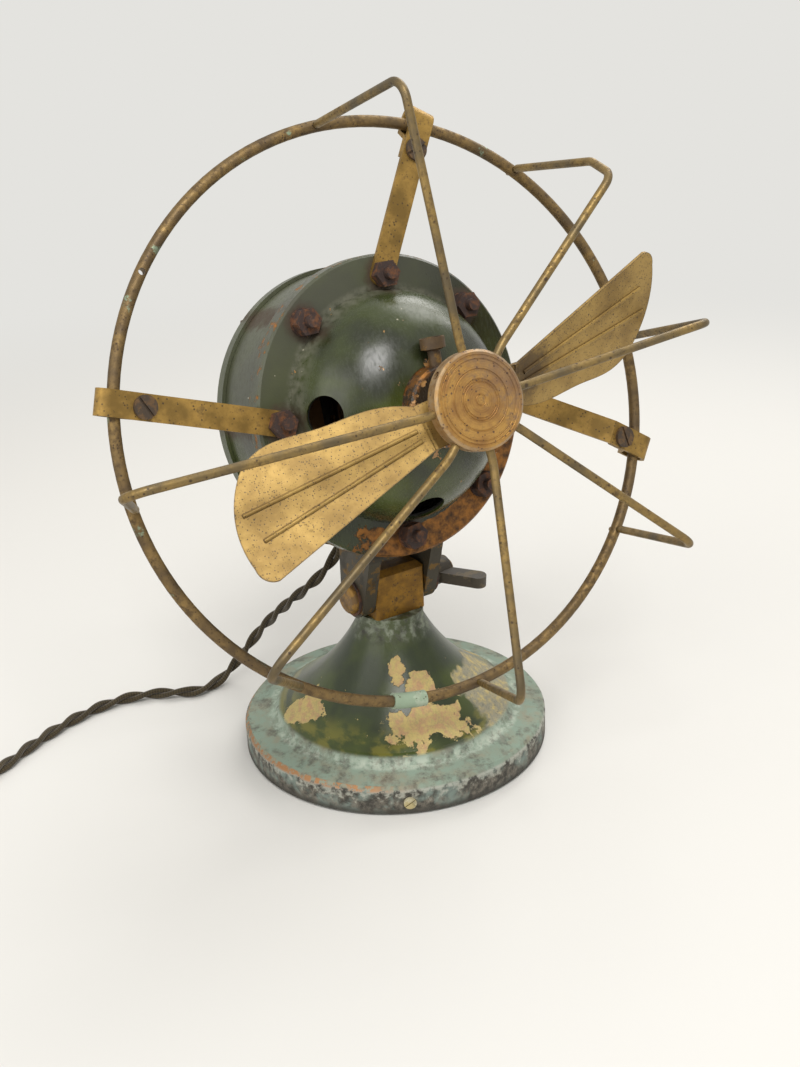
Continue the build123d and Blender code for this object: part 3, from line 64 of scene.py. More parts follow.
def circle_through(first: Pair, second: Pair, third: Pair) -> tuple[float, float, float]:
    """Circle through three points of a profile.

    The middle has the same distance to all three, which gives two linear equations.

    Args:
        first, second, third: points as radius and height.

    Returns:
        The middle's radius and height, and the circle's radius.
    """
    rows = 2 * (np.array([second, third]) - np.array(first))
    sums = np.array([np.dot(second, second), np.dot(third, third)]) - np.dot(first, first)
    middle = np.linalg.solve(rows, sums)
    return float(middle[0]), float(middle[1]), float(np.linalg.norm(middle - np.array(first)))


def tone(red: float, green: float, blue: float) -> Colour:
    """Turn a screen colour into linear light.

    Args:
        red, green, blue: screen values from 0 to 255.

    Returns:
        The colour as four linear numbers, opaque.
    """
    def linear(value: float) -> float:
        """Undo the screen's curve for one value."""
        part = value / 255
        return part / 12.92 if part <= 0.04045 else ((part + 0.055) / 1.055) ** 2.4

    return (linear(red), linear(green), linear(blue), 1.0)


# ============================================================================ shader maths
class Channel:
    """A socket on its way through a node tree; Python's operators add Math nodes to it."""

    def __init__(self, paint: "Paint", socket: bpy.types.NodeSocket) -> None:
        """Wrap an output socket of a paint's tree."""
        self.paint = paint
        self.socket = socket

    def _math(self, operation: str, *terms: "Term") -> "Channel":
        """Add a Math node over numbers or channels."""
        return self.paint.node("ShaderNodeMath", {"operation": operation}, dict(enumerate(terms)))

    def __add__(self, other: "Term") -> "Channel":
        """Sum."""
        return self._math("ADD", self, other)

    def __sub__(self, other: "Term") -> "Channel":
        """Difference."""
        return self._math("SUBTRACT", self, other)

    def __rsub__(self, other: "Term") -> "Channel":
        """Difference from a number."""
        return self._math("SUBTRACT", other, self)

    def __mul__(self, other: "Term") -> "Channel":
        """Product."""
        return self._math("MULTIPLY", self, other)

    def __truediv__(self, other: "Term") -> "Channel":
        """Quotient."""
        return self._math("DIVIDE", self, other)

    __radd__ = __add__
    __rmul__ = __mul__

    def root(self) -> "Channel":
        """Square root."""
        return self._math("SQRT", self)

    def size(self) -> "Channel":
        """Distance from zero."""
        return self._math("ABSOLUTE", self)

    def wave(self) -> "Channel":
        """Sine of an angle in radians."""
        return self._math("SINE", self)

    def rest(self) -> "Channel":
        """What is left above the whole number below."""
        return self._math("FRACT", self)

    def most(self, other: "Term") -> "Channel":
        """The larger of two."""
        return self._math("MAXIMUM", self, other)

    def least(self, other: "Term") -> "Channel":
        """The smaller of two."""
        return self._math("MINIMUM", self, other)

    def step(self, low: float, high: float) -> "Channel":
        """Smooth step: 0 at low, 1 at high; low may be the larger one."""
        ends = {"Value": self, "From Min": low, "From Max": high}
        return self.paint.node("ShaderNodeMapRange", {"interpolation_type": "SMOOTHSTEP"}, ends)

    def sister(self, name: str) -> "Channel":
        """Another output of the same node."""
        return Channel(self.paint, self.socket.node.outputs[name])


Term = float | Channel


@dataclass(frozen=True)
class Placement:
    """A piece's own frame: where its middle is, its right-hand direction and its axis."""

    origin: Point
    right: Point = (1.0, 0.0, 0.0)
    axis: Point = (0.0, 0.0, 1.0)

    def matrix(self) -> Matrix:
        """Matrix from the piece's own frame to the shared one."""
        axis = Vector(self.axis).normalized()
        right = Vector(self.right)
        right = (right - axis * right.dot(axis)).normalized()
        turned = Matrix((right, axis.cross(right), axis)).transposed().to_4x4()
        return Matrix.Translation(self.origin) @ turned


class Paint:
    """One material's node tree, built by calls on channels."""

    def __init__(self, name: str) -> None:
        """Start an empty material."""
        self.material = bpy.data.materials.new(name)
        self.material.use_nodes = True
        self.tree = self.material.node_tree
        self.tree.nodes.clear()

    def node(
        self,
        kind: str,
        settings: Mapping[str, object] | None = None,
        inputs: Mapping[str | int, object] | None = None,
        output: str | int = 0,
    ) -> Channel:
        """Add any node.

        Args:
            kind: the node's type.
            settings: properties of the node, set first.
            inputs: values or channels of its sockets, by name or index.
            output: the output that is handed back.

        Returns:
            The chosen output as a channel.
        """
        made = self.tree.nodes.new(kind)
        for name, value in (settings or {}).items():
            setattr(made, name, value)
        for key, value in (inputs or {}).items():
            if isinstance(value, Channel):
                self.tree.links.new(value.socket, made.inputs[key])
            else:
                made.inputs[key].default_value = value
        return Channel(self, made.outputs[output])

    def object_place(self, placement: Placement | None = None) -> Channel:
        """Object coordinates, in a piece's own frame where one is given."""
        place = self.node("ShaderNodeTexCoord", output="Object")
        if placement is None:
            return place
        turn = placement.matrix().to_euler()
        return self.node(
            "ShaderNodeMapping", {"vector_type": "TEXTURE"},
            {"Vector": place, "Location": placement.origin, "Rotation": tuple(turn)},
        )

    def split(self, place: Channel) -> tuple[Channel, Channel, Channel]:
        """Take a vector apart into its three numbers."""
        parted = self.node("ShaderNodeSeparateXYZ", inputs={0: place})
        return parted, parted.sister("Y"), parted.sister("Z")

    def stretch(self, place: Channel, factors: Point) -> Channel:
        """Scale a vector's three numbers."""
        return self.node("ShaderNodeVectorMath", {"operation": "MULTIPLY"}, {0: place, 1: factors})

    def shift(self, place: Channel, offset: Point) -> Channel:
        """Move a vector, so that a pattern is read somewhere else."""
        return self.node("ShaderNodeVectorMath", {"operation": "ADD"}, {0: place, 1: offset})

    def noise(self, place: Channel, size: float, detail: float = 4.0, rough: float = 0.55,
              twist: float = 0.0) -> Channel:
        """Cloudy noise between 0 and 1 whose blots are about `size` across."""
        return self.node(
            "ShaderNodeTexNoise",
            inputs={"Vector": place, "Scale": 1 / size, "Detail": detail, "Roughness": rough,
                    "Distortion": twist},
            output="Fac",
        )

    def specks(self, place: Channel, size: float, share: float, width: float = 0.3) -> Channel:
        """Scattered dots.

        Args:
            place: where the pattern is read.
            size: width of the cells, each with one dot at most.
            share: share of the cells that have a dot.
            width: a dot's radius as a part of its cell.

        Returns:
            1 inside the dots and 0 elsewhere.
        """
        cells = self.node("ShaderNodeTexVoronoi", {"feature": "F1"},
                          {"Vector": place, "Scale": 1 / size}, "Distance")
        chance, breadth, _ = self.split(cells.sister("Color"))
        reach = cells / (width * (0.4 + breadth))
        return reach.step(1.0, 0.6) * chance.step(1 - share, 1 - share + 0.01)

    def mix(self, factor: Term, under: "Colour | Channel", over: "Colour | Channel") -> Channel:
        """Lay one colour over another by a factor."""
        return self.node("ShaderNodeMix", {"data_type": "RGBA"}, {0: factor, 6: under, 7: over}, 2)

    def surface(
        self,
        colour: "Colour | Channel",
        roughness: Term,
        metallic: Term = 0.0,
        height: Channel | None = None,
        depth: float = 0.3 * MM,
        **constants: float,
    ) -> bpy.types.Material:
        """End the tree in one glossy or dull surface.

        Args:
            colour: base colour.
            roughness, metallic: numbers or channels.
            height: relief from 0 to 1, if there is any.
            depth: how deep the relief is.
            constants: other sockets of the shader, with spaces written as underscores.

        Returns:
            The finished material.
        """
        inputs: dict[str | int, object] = {
            "Base Color": colour, "Roughness": roughness, "Metallic": metallic,
        }
        if height is not None:
            inputs["Normal"] = self.node("ShaderNodeBump",
                                         inputs={"Strength": 1.0, "Distance": depth, "Height": height})
        inputs |= {name.replace("_", " "): value for name, value in constants.items()}
        shader = self.node("ShaderNodeBsdfPrincipled", inputs=inputs)
        self.node_output(shader)
        return self.material

    def node_output(self, shader: Channel) -> None:
        """Join a shader to the material's output."""
        output = self.tree.nodes.new("ShaderNodeOutputMaterial")
        self.tree.links.new(shader.socket, output.inputs["Surface"])


# ============================================================================ frames of the fan
HEAD_TILT = math.radians(14.0)
AHEAD = Vector((0.0, -math.cos(HEAD_TILT), math.sin(HEAD_TILT)))
UPWARD = Vector((0.0, math.sin(HEAD_TILT), math.cos(HEAD_TILT)))
PIVOT = Vector((0.0, 0.0, 72.0 * MM))
MOTOR_MIDDLE = PIVOT + UPWARD * 78.6 * MM + AHEAD * 32.0 * MM
HEAD = Placement(tuple(MOTOR_MIDDLE), axis=tuple(AHEAD))
GUARD_YAW = math.radians(-3.95)
GUARD_NOD = math.radians(4.92)
GUARD_AHEAD = AHEAD + Vector((math.tan(GUARD_YAW), 0, 0)) + UPWARD * math.tan(GUARD_NOD)
GUARD_MIDDLE = MOTOR_MIDDLE + Vector((-0.9 * MM, 0, 0)) - UPWARD * 2.7 * MM
GUARD = Placement(tuple(GUARD_MIDDLE), axis=tuple(GUARD_AHEAD))
PHOTO_TURN = math.radians(-121.5)
BASE = Placement((0.0, 0.0, 0.0), right=(math.cos(PHOTO_TURN), math.sin(PHOTO_TURN), 0.0))


# ============================================================================ finishes
@dataclass(frozen=True)
class Finish:
    """What every finish has: a name and a way to make its material."""

    name: str

    def material(self) -> bpy.types.Material:
        """Make the material."""
        raise NotImplementedError


@dataclass(frozen=True)
class MotorEnamel(Finish):
    """Olive gloss enamel over brass, with dust, chips, rust round the nuts and a worn lower rim."""

    wear: float = 1.0
    enamel: Colour = tone(57, 65, 32)
    # Lighter, yellower green painted as light on the dome's lower left.
    lit_green: Colour = tone(80, 90, 30)
    shade: Colour = tone(37, 41, 27)
    # Grey for the dust, and for the painted sheen on the upper left.
    dust: Colour = tone(104, 104, 88)
    stain: Colour = tone(66, 50, 38)
    chip: Colour = tone(182, 138, 86)
    brass: Colour = tone(160, 108, 52)
    boss: Colour = tone(52, 43, 33)
    stud_circle: float = 52.4 * MM
    stud_phase: float = math.radians(-4.3)
    dome_foot: float = 47.0 * MM
    boss_radius: float = 15.8 * MM
    # Near black for the painted shade on the casings' inner faces.
    soot_and_shade: Colour = tone(14, 13, 11)
    drum_bore: float = 55.6 * MM
    rear_face: float = -43.0 * MM
    front_dome: tuple[Pair, Pair, Pair] = ((46.4, 2.6), (36.5, 21.0), (15.8, 31.5))
    rear_dome: tuple[Pair, Pair, Pair] = ((46.4, 2.6), (37.0, 14.0), (12.0, 21.5))

    def inside(self, radius: Channel, ahead: Channel) -> Channel:
        """1 on the casings' inner faces, where shade is painted: within the domes' arcs by half their wall,
        or in the drum.
        """
        inner_shade = radius.step(self.drum_bore + 0.5 * MM, self.drum_bore)
        back = self.rear_face
        inner_shade = inner_shade * ahead.step(-0.4 * MM, -0.8 * MM) * ahead.step(back + 0.4 * MM, back + 0.8 * MM)
        for face, sense, points in ((0.0, 1.0, self.front_dome), (back, -1.0, self.rear_dome)):
            middle, rise, reach = (number * MM for number in circle_through(*points))
            height = (ahead - face) * sense
            away = ((radius - middle) * (radius - middle) + (height - rise) * (height - rise)).root()
            within = away.step(reach - 0.8 * MM, reach - 1.2 * MM) * height.step(0.0, 0.4 * MM)
            between = radius.step(45.6 * MM, 45.2 * MM) * radius.step(17.0 * MM, 17.6 * MM)
            inner_shade = inner_shade.most(within * between)
        return inner_shade

    def stud_distance(self, paint: Paint, across: Channel, up: Channel, radius: Channel) -> Channel:
        """Distance to the nearest of eight studs: the angle is folded into one eighth of a turn."""
        turn = paint.node("ShaderNodeMath", {"operation": "ARCTAN2"}, {0: up, 1: across})
        eighth = math.pi / 4
        lateral = (((turn - self.stud_phase) / eighth + 0.5).rest() - 0.5) * eighth * radius
        radial = radius - self.stud_circle
        return (lateral * lateral + radial * radial).root()

    def material(self) -> bpy.types.Material:
        """Layers from the enamel up: colour drift, a painted light on the dome's lower left, dust with a
        painted sheen on the upper left, stains, chips, bare brass, specks, and painted shade on the inner
        faces.
        """
        paint = Paint(self.name)
        place = paint.object_place(HEAD)
        across, up, ahead = paint.split(place)
        radius = (across * across + up * up).root()
        broad = paint.noise(place, 30 * MM, 3)
        fine = paint.noise(place, 4 * MM, 6, 0.65)
        grain = paint.noise(place, 0.7 * MM, 3, 0.7)
        colour = paint.mix(broad.step(0.35, 0.65), self.shade, self.enamel)
        # Painted light: the dome's lower left is made a lighter, yellower green.
        lean = (up * -0.5 - across * 0.87) / radius
        glow = lean.step(0.1, 0.95) * radius.step(48 * MM, 36 * MM) * broad.step(0.25, 0.6)
        colour = paint.mix(glow * 0.8, colour, self.lit_green)
        foot = (radius - self.dome_foot).size().step(3.2 * MM, 0.6 * MM) * fine.step(0.3, 0.65)
        high = (up * 0.85 - across * 0.5) / radius
        dust_and_sheen = foot * high.step(-0.6, 0.8) * 0.75
        # Painted sheen: the outer flange and drum turn smoothly greyer towards the upper left, without noise.
        dust_and_sheen = dust_and_sheen + radius.step(44 * MM, 50 * MM) * high.step(0.0, 1.0) * 0.35
        colour = paint.mix(dust_and_sheen, colour, self.dust)
        nut = self.stud_distance(paint, across, up, radius) + (fine - 0.5) * 7 * MM
        colour = paint.mix(nut.step(9.5 * MM, 5.0 * MM) * 0.8, colour, self.stain)
        low = (across * 0.5 - up * 0.86) / radius
        rim = radius.step(47.5 * MM, 49.5 * MM) * low.step(0.15, 0.75) * self.wear
        bare = (rim + (fine - 0.5) * 1.5).step(0.62, 0.72)
        edge = radius.step(60.2 * MM, 60.7 * MM) * fine.step(0.52, 0.66)
        near_boss = radius.step(26 * MM, 17 * MM)
        chips = (paint.noise(place, 5 * MM, 5, 0.6) + near_boss * 0.13 * self.wear).step(0.70, 0.72)
        boss = radius.step(self.boss_radius + 0.6 * MM, self.boss_radius)
        boss = boss * ahead.size().step(29 * MM, 31 * MM)
        colour = paint.mix(boss, colour, self.boss)
        lip = boss * radius.step(13.2 * MM, 15.2 * MM) * fine.step(0.38, 0.55)
        colour = paint.mix(chips, colour, self.chip)
        metal = bare.most(edge).most(lip)
        worn = paint.mix(fine.step(0.3, 0.7), self.stain, self.brass)
        colour = paint.mix(metal, colour, worn)
        dots = paint.specks(place, 5 * MM, 0.35, 0.06)
        colour = paint.mix(dots, colour, tone(190, 185, 165))
        scratched = paint.noise(paint.stretch(place, (1, 0.25, 1)), 1.2 * MM, 4, 0.7)
        rough = 0.2 + scratched.step(0.35, 0.8) * 0.22 + dust_and_sheen * 0.35
        rough = rough + metal * 0.22 + nut.step(9 * MM, 5 * MM) * 0.3
        height = (1 - metal.most(chips)) * 0.8 + grain * 0.12
        # Painted shade: the casings' inner faces are made near black.
        inner_shade = self.inside(radius, ahead)
        colour = paint.mix(inner_shade, colour, self.soot_and_shade)
        rough = rough + inner_shade * 0.5
        return paint.surface(colour, rough, metal * (1 - inner_shade) * 0.7, height, 0.25 * MM)


@dataclass(frozen=True)
class BaseEnamel(Finish):
    """The trumpet base: green enamel that flakes to cream and grey, and a rim full of verdigris."""

    green: Colour = tone(62, 73, 28)
    deep: Colour = tone(40, 50, 24)
    olive: Colour = tone(112, 108, 40)
    cream: Colour = tone(196, 176, 112)
    tan: Colour = tone(190, 150, 112)
    grey: Colour = tone(142, 138, 118)
    verdigris: Colour = tone(132, 150, 134)
    pale: Colour = tone(178, 188, 172)
    soot_and_shade: Colour = tone(58, 56, 50)
    side: Colour = tone(118, 112, 100)
    copper: Colour = tone(164, 122, 84)
    patches: tuple[tuple[float, float, float, float], ...] = (
        (20.0, 25.0, 30.0, 7.0), (4.0, 44.0, 10.0, 7.0), (24.0, 35.0, 17.0, 7.0), (-66.0, 24.0, 16.0, 6.0),
        (150.0, 30.0, 30.0, 12.0), (-140.0, 38.0, 26.0, 9.0),
    )

    def material(self) -> bpy.types.Material:
        """Cone, neck, band, edge and side are told apart by radius and height, chips by noise."""
        paint = Paint(self.name)
        place = paint.object_place(BASE)
        x, y, z = paint.split(place)
        radius = (x * x + y * y).root()
        turn = paint.node("ShaderNodeMath", {"operation": "ARCTAN2"}, {0: y, 1: x}) * (180 / math.pi)
        broad = paint.noise(place, 26 * MM, 3)
        cloud = paint.noise(place, 11 * MM, 6, 0.6, 0.4)
        fine = paint.noise(paint.shift(place, (0.3, 0.1, 0.0)), 3.2 * MM, 6, 0.65)
        grain = paint.noise(place, 0.8 * MM, 3, 0.7)
        colour = paint.mix(broad.step(0.4, 0.62), self.deep, self.green)
        streak = paint.noise(paint.stretch(paint.shift(place, (0, 0, 0.2)), (0.4, 1.0, 2.4)), 9 * MM, 4)
        foot = z.step(27 * MM, 20 * MM)
        colour = paint.mix(foot * streak.step(0.45, 0.62) * 0.85, colour, self.olive)
        chips: Channel | None = None
        for middle, height, breadth, rise in self.patches:
            away = (turn - middle) / breadth
            above = (z - height * MM) / (rise * MM)
            inside = 1 - (away * away + above * above).root()
            chip = (inside * 0.8 + (cloud - 0.5) * 2.6 + (fine - 0.5) * 0.5).step(0.10, 0.16)
            chips = chip if chips is None else chips.most(chip)
        crumbs = (fine + (cloud - 0.5) * 0.5).step(0.70, 0.72)
        chips = chips.most(crumbs) * radius.step(53 * MM, 51.5 * MM)
        undercoat = paint.mix(fine.step(0.35, 0.6), self.tan, self.cream)
        stained = (cloud * 0.5 + grain * 0.5).step(0.42, 0.66)
        undercoat = paint.mix(stained * 0.45, undercoat, paint.mix(streak, self.olive, self.grey))
        colour = paint.mix(chips, colour, undercoat)
        right_side = turn.step(38.0, 66.0) * turn.step(128.0, 100.0) * z.step(40 * MM, 30 * MM)
        back_side = (turn.size()).step(150.0, 172.0) * z.step(36 * MM, 27 * MM)
        oxide = (right_side.most(back_side) * 1.1 + (cloud - 0.5) * 1.6).step(0.45, 0.75)
        crusted = paint.mix((fine * 0.6 + cloud * 0.4).step(0.46, 0.66), self.grey, self.cream)
        colour = paint.mix(oxide, colour, paint.mix(grain.step(0.5, 0.75) * 0.6, crusted, self.soot_and_shade))
        neck = z.step(50 * MM, 56 * MM) * (fine.step(0.42, 0.6) * 0.8 + 0.15)
        neck_tone = paint.mix(cloud.step(0.4, 0.6), self.soot_and_shade, paint.mix(0.5, self.verdigris, self.grey))
        colour = paint.mix(neck, colour, neck_tone)
        band = radius.step(50.6 * MM, 52.6 * MM)
        crust = (fine * 0.6 + cloud * 0.6).step(0.50, 0.72)
        inner = (radius - 54.6 * MM).size().step(3.4 * MM, 0.8 * MM)
        band_tone = paint.mix((cloud + fine * 0.4).step(0.42, 0.86), self.grey, self.verdigris)
        band_tone = paint.mix((inner * 0.6 + crust * 0.7).least(1.0), band_tone, self.verdigris)
        band_tone = paint.mix(crust * inner, band_tone, self.pale)
        band_tone = paint.mix((streak * 0.7 + fine * 0.4).step(0.66, 0.78) * 0.6, band_tone, self.soot_and_shade)
        mottle = paint.noise(paint.shift(place, (0.5, 0.3, 0.1)), 7 * MM, 6, 0.7).step(0.47, 0.62)
        band_tone = paint.mix(mottle * 0.6, band_tone, paint.mix(fine.step(0.4, 0.6), self.soot_and_shade, self.side))
        colour = paint.mix(band, colour, band_tone)
        edge = radius.step(65.5 * MM, 66.1 * MM) * z.step(10.4 * MM, 11.6 * MM)
        bare = edge * turn.step(8.0, -14.0) * fine.step(0.42, 0.56)
        side = radius.step(66.4 * MM, 67.2 * MM) * z.step(12.4 * MM, 11.4 * MM)
        side_tone = paint.mix(fine.step(0.36, 0.66), self.soot_and_shade, self.side)
        blue = paint.mix(0.35, self.verdigris, tone(112, 120, 128))
        side_tone = paint.mix(cloud.step(0.46, 0.66) * 0.85, side_tone, blue)
        crusty = (fine * 0.7 + z / (12 * MM) * 0.32).step(0.56, 0.68)
        side_tone = paint.mix(crusty * 0.75, side_tone, tone(170, 172, 160))
        # The side wall is darker towards its bottom edge.
        side_tone = paint.mix(z.step(4.4 * MM, 1.2 * MM) * 0.85, side_tone, self.soot_and_shade)
        colour = paint.mix(side, colour, side_tone)
        colour = paint.mix(bare, colour, self.copper)
        dull = chips.most(oxide).most(band).most(neck).most(side)
        rough = 0.24 + dull * 0.45 + grain * 0.12 - bare * 0.2
        height = (1 - chips) * 0.55 + dull * (fine * 0.35) + grain * 0.12
        return paint.surface(colour, rough, bare * 0.7, height, 0.4 * MM)


class BrassLook(Enum):
    """Which brass piece a finish is for: each has its own marks."""

    PLAIN = "plain"
    BLADE = "blade"
    HUB = "hub"


@dataclass(frozen=True)
class AgedBrass(Finish):
    """Old bare brass: drifting gold and brown, dark specks, and the marks of its piece."""

    gold: Colour = tone(178, 142, 68)
    brown: Colour = tone(128, 98, 46)
    dark: Colour = tone(58, 42, 26)
    look: BrassLook = BrassLook.PLAIN
    blot: float = 9 * MM
    tarnish: float = 0.3
    speck: float = 1.1 * MM
    speck_share: float = 0.3
    green: float = 0.0
    rough: float = 0.42
    metallic: float = 0.75

    def blade_marks(self, paint: Paint, colour: Channel, place: Channel, fine: Channel) -> Channel:
        """Stain by the upper blade's root and the dark line along the blades' edges."""
        across, up, _ = paint.split(place)
        root = paint.shift(place, (-27 * MM, -9 * MM, -54 * MM))
        away = paint.node("ShaderNodeVectorMath", {"operation": "LENGTH"}, {0: root}, "Value")
        stain = (away + (fine - 0.5) * 18 * MM).step(15 * MM, 5 * MM)
        colour = paint.mix(stain * 0.75, colour, self.dark)
        bevel = paint.node("ShaderNodeBevel", {"samples": 6}, {"Radius": 0.9 * MM})
        normal = paint.node("ShaderNodeNewGeometry", output="Normal")
        same = paint.node(
            "ShaderNodeVectorMath", {"operation": "DOT_PRODUCT"}, {0: bevel, 1: normal}, "Value",
        )
        return paint.mix(same.step(0.97, 0.80) * 0.8, colour, self.dark)

    def hub_marks(
        self, paint: Paint, colour: Channel, place: Channel, fine: Channel
    ) -> tuple[Channel, Channel]:
        """Turned rings, a mauve cast on the right and a pale worn edge.

        Returns:
            The colour, and the rings as a relief from 0 to 1.
        """
        across, up, _ = paint.split(place)
        radius = (across * across + up * up).root()
        rings = ((radius + (fine - 0.5) * 0.25 * MM) * (2 * math.pi / (0.85 * MM))).wave() * 0.5 + 0.5
        wide = (radius * (2 * math.pi / (3.4 * MM))).wave() * 0.5 + 0.5
        cast = ((across * 0.8 + up * 0.6) / (18 * MM) + (fine - 0.5) * 2.2).step(-0.1, 0.9)
        colour = paint.mix(cast * 0.6, colour, tone(126, 104, 88))
        colour = paint.mix(rings * wide * 0.22, colour, self.dark)
        rim = radius.step(16.9 * MM, 17.5 * MM) * fine.step(0.3, 0.6)
        colour = paint.mix(rim * 0.6, colour, tone(178, 158, 128))
        return colour, rings * 0.35 + wide * 0.2

    def material(self) -> bpy.types.Material:
        """Gold drifts to brown in blots, tarnish gathers in patches, and specks lie on top."""
        paint = Paint(self.name)
        place = paint.object_place(GUARD if self.look is BrassLook.HUB else HEAD)
        drift = paint.noise(place, self.blot, 5, 0.6)
        fine = paint.noise(paint.shift(place, (0.2, 0.4, 0.1)), 2.6 * MM, 6, 0.68)
        grain = paint.noise(place, 0.5 * MM, 3, 0.7)
        colour = paint.mix(drift.step(0.34, 0.66), self.brown, self.gold)
        patchy = (drift * 0.5 + fine * 0.6).step(0.72 - self.tarnish * 0.5, 0.9 - self.tarnish * 0.5)
        colour = paint.mix(patchy * 0.75, colour, self.dark)
        if self.green > 0:
            mould = paint.noise(paint.shift(place, (0.7, 0.0, 0.3)), 13 * MM, 6, 0.7)
            colour = paint.mix(mould.step(0.72 - self.green * 0.3, 0.78 - self.green * 0.3) * 0.8,
                               colour, tone(140, 160, 136))
        height = fine * 0.5 + grain * 0.3
        if self.look is BrassLook.BLADE:
            colour = self.blade_marks(paint, colour, place, fine)
        if self.look is BrassLook.HUB:
            colour, turned = self.hub_marks(paint, colour, place, fine)
            height = height * 0.4 + turned
        dots = paint.specks(place, self.speck, self.speck_share, 0.34)
        dots = dots.most(paint.specks(place, self.speck * 3.7, self.speck_share * 0.5, 0.16))
        colour = paint.mix(dots * 0.85, colour, self.dark)
        rough = self.rough + fine * 0.25 + patchy * 0.18 - 0.08
        metal = self.metallic * (1 - (patchy.most(dots)) * 0.5)
        return paint.surface(colour, rough, metal, height, 0.08 * MM)


@dataclass(frozen=True)
class RustySteel(Finish):
    """Dark rusty steel: nearly black brown with orange bloom and a grey bare shine here and there."""

    base: Colour = tone(60, 46, 42)
    bloom: Colour = tone(112, 72, 44)
    bare: Colour = tone(120, 110, 104)
    shine: float = 0.3
    rough: float = 0.55

    def material(self) -> bpy.types.Material:
        """Two noises: one for bloom, one for bare metal, and a coarse relief."""
        paint = Paint(self.name)
        place = paint.object_place()
        bloom = paint.noise(place, 3.4 * MM, 6, 0.65)
        bare = paint.noise(paint.shift(place, (0.1, 0.5, 0.2)), 2.2 * MM, 4)
        grain = paint.noise(place, 0.45 * MM, 3, 0.7)
        colour = paint.mix(bloom.step(0.44, 0.66), self.base, self.bloom)
        shining = bare.step(0.62, 0.74) * self.shine
        colour = paint.mix(shining, colour, self.bare)
        rough = self.rough + bloom * 0.3 - shining * 0.3
        return paint.surface(colour, rough, shining.most(0.15), bloom * 0.6 + grain * 0.4, 0.18 * MM)


@dataclass(frozen=True)
class OldMetal(Finish):
    """Plain or painted metal gone dull, with worn patches of what lies beneath."""

    face: Colour
    worn: Colour
    grime: Colour = tone(44, 40, 34)
    amount: float = 0.4
    metallic: float = 0.6
    rough: float = 0.42
    size: float = 5 * MM

    def material(self) -> bpy.types.Material:
        """Face colour, worn patches over it, and grime in cloudy areas."""
        paint = Paint(self.name)
        place = paint.object_place()
        cloud = paint.noise(place, self.size, 6, 0.62)
        other = paint.noise(paint.shift(place, (0.4, 0.2, 0.6)), self.size * 1.6, 5, 0.6)
        grain = paint.noise(place, 0.5 * MM, 3, 0.7)
        worn = cloud.step(0.70 - self.amount * 0.4, 0.78 - self.amount * 0.4)
        colour = paint.mix(worn, self.face, self.worn)
        colour = paint.mix(other.step(0.5, 0.7) * 0.6, colour, self.grime)
        rough = self.rough + cloud * 0.25 + other.step(0.5, 0.7) * 0.15
        return paint.surface(colour, rough, worn * self.metallic, cloud * 0.5 + grain * 0.5, 0.12 * MM)


@dataclass(frozen=True)
class ClothCord(Finish):
    """Braided cloth over each wire of the cord: a fine two-way weave, dark and dusty."""

    dark: Colour = tone(44, 37, 25)
    light: Colour = tone(98, 86, 60)
    threads: int = 5

    def material(self) -> bpy.types.Material:
        """Two waves that cross at a slant on the strand's own map make the braid."""
        paint = Paint(self.name)
        chart = paint.node("ShaderNodeUVMap", {"uv_map": "UVMap"})
        around, along, _ = paint.split(chart)
        one = ((around * self.threads + along * 3.2) * (2 * math.pi)).wave()
        two = ((around * self.threads - along * 3.2) * (2 * math.pi)).wave()
        weave = (one * two) * 0.5 + 0.5
        dirt = paint.noise(paint.object_place(), 9 * MM, 5, 0.65)
        fuzz = paint.noise(paint.object_place(), 0.4 * MM, 3, 0.7)
        worn = weave.step(0.1, 0.9) * 0.55 + (dirt - 0.5) * 0.7 + (fuzz - 0.5) * 0.5
        colour = paint.mix(worn, self.dark, self.light)
        return paint.surface(colour, 0.86, 0.0, weave * 0.7 + fuzz * 0.4, 0.16 * MM,
                             Sheen_Weight=0.25, Sheen_Roughness=0.5, Specular_IOR_Level=0.25)


@dataclass(frozen=True)
class Turns(Finish):
    """Varnished cotton-covered wire laid turn by turn, or thin iron sheets, or copper bars."""

    face: Colour
    gap: Colour
    pitch: float
    axis: Placement = HEAD
    radial: bool = False
    metallic: float = 0.0
    rough: float = 0.5

    def material(self) -> bpy.types.Material:
        """A wave along the head's axis, or around it, shades and raises each turn or sheet."""
        paint = Paint(self.name)
        place = paint.object_place(self.axis)
        across, up, ahead = paint.split(place)
        way = (across * across + up * up).root() if self.radial else ahead
        blot = paint.noise(place, 6 * MM, 5, 0.6)
        wave = (way * (2 * math.pi / self.pitch)).wave() * 0.5 + 0.5
        colour = paint.mix(wave.step(0.1, 0.7) * (0.6 + blot * 0.4), self.gap, self.face)
        return paint.surface(colour, self.rough + blot * 0.2, self.metallic, wave, 0.12 * MM)


@dataclass(frozen=True)
class Felt(Finish):
    """Matted wool: soft fibres, dust and flattened places."""

    face: Colour = tone(52, 62, 44)
    dust: Colour = tone(92, 90, 76)

    def material(self) -> bpy.types.Material:
        """Short fibres are a stretched noise, and dust a broad one."""
        paint = Paint(self.name)
        place = paint.object_place()
        fibres = paint.noise(place, 0.6 * MM, 5, 0.75, 1.5)
        dust = paint.noise(place, 14 * MM, 4)
        colour = paint.mix(dust.step(0.4, 0.7) * 0.5 + (fibres - 0.5) * 0.6, self.face, self.dust)
        return paint.surface(colour, 0.95, 0.0, fibres, 0.3 * MM, Sheen_Weight=0.4, Specular_IOR_Level=0.1)


